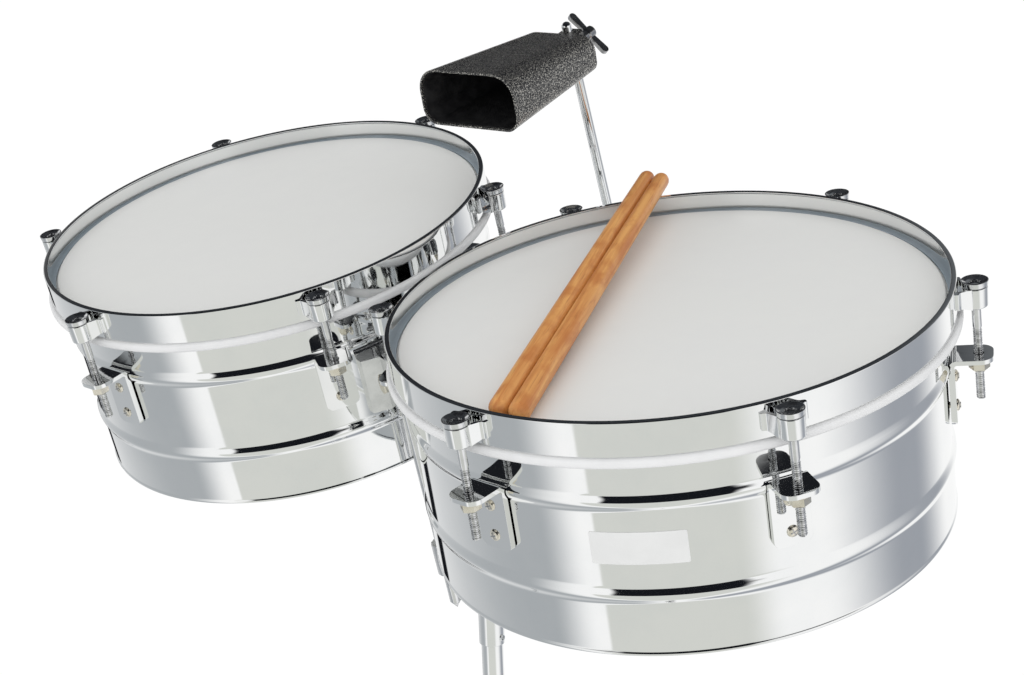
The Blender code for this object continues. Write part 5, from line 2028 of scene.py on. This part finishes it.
@dataclass
class Studio:
    """The camera, the lamps, the pale floor and the panels that the chrome mirrors."""

    camera_place: tuple[float, float, float] = (0.91338, -1.08967, 1.2171)
    camera_right: tuple[float, float, float] = (0.7644, 0.6439, -0.0342)
    camera_back: tuple[float, float, float] = (0.6275, -0.7306, 0.2694)
    sensor: float = 36.0
    lens: float = 66.8
    ambient: float = 0.89
    floor_size: float = 14.0
    floor_drop: float = 0.0002
    floor_matt: float = 0.9
    floor_faint: float = 0.24
    floor_glow: float = 0.80
    lamp_aim: tuple[float, float, float] = (0.0, 0.0, 0.8)
    lamps: tuple[Lamp, ...] = (
        Lamp("key", (-0.9, -1.9, 2.7), 2.4, 7.0),
        Lamp("fill", (2.2, -0.6, 2.2), 2.0, 6.0),
        Lamp("front", (1.3, -2.3, 1.0), 2.0, 8.0),
    )
    panels: tuple[Panel, ...] = (
        Panel((0.425, 0.447, 0.466), (-170, -45, -34, -10), (-89, -80, 12, 30)),
        Panel((0.36, 0.38, 0.42), (96, 140, 150, 178), (-89, -80, 12, 30)),
        Panel((0.685, 0.696, 0.661), (-6, -4, 60, 80), (-89, -80, -10, -7)),
        Panel((0.030, 0.033, 0.038), (-220, -200, 200, 220), (20, 30, 95, 100)),
        Panel((0.012, 0.013, 0.016), (-88, -76, 56, 62), (12, 17, 95, 100)),
        Panel((0.012, 0.013, 0.016), (50, 56, 92, 104), (20, 25, 95, 100)),
        Panel((0.020, 0.021, 0.024), (-172, -157, -122, -108), (3, 10, 28, 34)),
        Panel((0.16, 0.17, 0.18), (-176, -166, -152, -145), (25, 30, 42, 48)),
        Panel((0.008, 0.009, 0.012), (1, 4, 52, 58), (-9, -6, 40, 50)),
        Panel((0.008, 0.009, 0.012), (-122, -120, -114, -112), (-42, -38, 8, 12)),
    )

    def build(self) -> None:
        """Set up the whole studio."""
        bpy.context.scene.view_settings.view_transform = "Standard"
        self.camera()
        self.world()
        self.floor()
        for lamp in self.lamps:
            self.hang(lamp)

    def camera(self) -> None:
        """Put the camera at the photograph's viewpoint."""
        data = bpy.data.cameras.new("camera")
        data.sensor_width = self.sensor
        data.lens = self.lens
        item = bpy.data.objects.new("camera", data)
        item.matrix_world = axes(Vector(self.camera_right), Vector(self.camera_back),
                                 Vector(self.camera_place))
        bpy.context.scene.collection.objects.link(item)
        bpy.context.scene.camera = item

    def hang(self, lamp: Lamp) -> None:
        """Hang a lamp and point it at the drums.

        Args:
            lamp: The lamp.
        """
        data = bpy.data.lights.new(lamp.name, "AREA")
        data.size = lamp.size
        data.energy = lamp.power
        item = bpy.data.objects.new(lamp.name, data)
        place = Vector(lamp.place)
        away = place - Vector(self.lamp_aim)
        item.matrix_world = axes(away.orthogonal(), away, place)
        item.visible_glossy = False
        item.visible_camera = False
        bpy.context.scene.collection.objects.link(item)

    def world(self) -> None:
        """White behind the object, an even light on it, and panels for metal to mirror."""
        world = bpy.data.worlds.new("studio")
        bpy.context.scene.world = world
        world.use_nodes = True
        world.node_tree.nodes.clear()
        bench = NodeBench(world.node_tree)
        looking = bench.add("ShaderNodeTexCoord").outputs["Generated"]
        way = bench.add("ShaderNodeSeparateXYZ", {0: looking}).outputs
        degrees = 180.0 / math.pi
        towards = bench.sum("MULTIPLY", way["Y"], -1.0)
        azimuth = bench.sum("MULTIPLY", bench.sum("ARCTAN2", way["X"], towards), degrees)
        elevation = bench.sum("MULTIPLY", bench.sum("ARCSINE", way["Z"]), degrees)
        white = opaque((1.0, 1.0, 1.0))
        mirrored: object = white
        for panel in self.panels:
            middle = (panel.across[0] + panel.across[3]) / 2
            group = bench.add("ShaderNodeGroup", node_tree=kept_tree("Soft panel", soft_panel_tree))
            bench.feed(group, {"Azimuth": azimuth, "Elevation": elevation, "Middle": middle})
            bench.feed(group, {f"Across {i}": stop - middle for i, stop in enumerate(panel.across)})
            bench.feed(group, {f"Up {i}": stop for i, stop in enumerate(panel.up)})
            mirrored = bench.blend(group.outputs["Mask"], mirrored, opaque(panel.colour))
        path = bench.add("ShaderNodeLightPath").outputs
        seen = bench.sum("MAXIMUM", path["Is Camera Ray"], path["Is Transmission Ray"])
        lit = bench.blend(seen, opaque((self.ambient,) * 3), white)
        shown = bench.blend(path["Is Glossy Ray"], lit, mirrored)
        light = bench.add("ShaderNodeBackground", {"Color": shown, "Strength": 1.0})
        bench.add("ShaderNodeOutputWorld", {"Surface": light.outputs[0]})

    def floor(self) -> None:
        """A pale floor that fades into the white and keeps a faint shadow."""
        shape = bmesh.new()
        bmesh.ops.create_grid(shape, x_segments=2, y_segments=2, size=self.floor_size)
        mesh = finished(shape, Matrix.Translation((0, 0, -self.floor_drop)))
        material = bpy.data.materials.new("pale_floor")
        material.use_nodes = True
        material.node_tree.nodes.clear()
        bench = NodeBench(material.node_tree)
        matt = bench.add("ShaderNodeBsdfDiffuse", {"Color": opaque((self.floor_matt,) * 3)})
        faint = bench.add("ShaderNodeBsdfDiffuse", {"Color": opaque((self.floor_faint,) * 3)})
        white = bench.add("ShaderNodeEmission", {"Color": opaque((self.floor_glow,) * 3), "Strength": 1.0})
        shown = bench.add("ShaderNodeAddShader", {0: faint.outputs[0], 1: white.outputs[0]})
        path = bench.add("ShaderNodeLightPath").outputs
        seen = bench.sum("MAXIMUM", path["Is Camera Ray"], bench.sum("MAXIMUM", path["Is Glossy Ray"],
                                                                    path["Is Transmission Ray"]))
        mix = bench.add("ShaderNodeMixShader", {0: seen, 1: matt.outputs[0], 2: shown.outputs[0]})
        bench.add("ShaderNodeOutputMaterial", {"Surface": mix.outputs[0]})
        mesh.materials.append(material)
        item = bpy.data.objects.new("floor", mesh)
        item.visible_glossy = False
        bpy.context.scene.collection.objects.link(item)


def corners(box: Sequence[Sequence[float]]) -> list[list[float]]:
    """A box's two corners as plain lists."""
    return [[float(value) for value in corner] for corner in box]


def main() -> None:
    """Build the studio and every sub-assembly."""
    logging.basicConfig(level=logging.INFO, format="%(name)s: %(message)s")
    Studio().build()
    DrumLook("large", radius=0.1818, label_angle=math.radians(-63.2)).build()
    DrumLook("small", radius=0.1693).build()
    Stand().build()
    Tripod().build()
    Cowbell().build()
    Sticks().build()


if __name__ == "__main__":
    main()
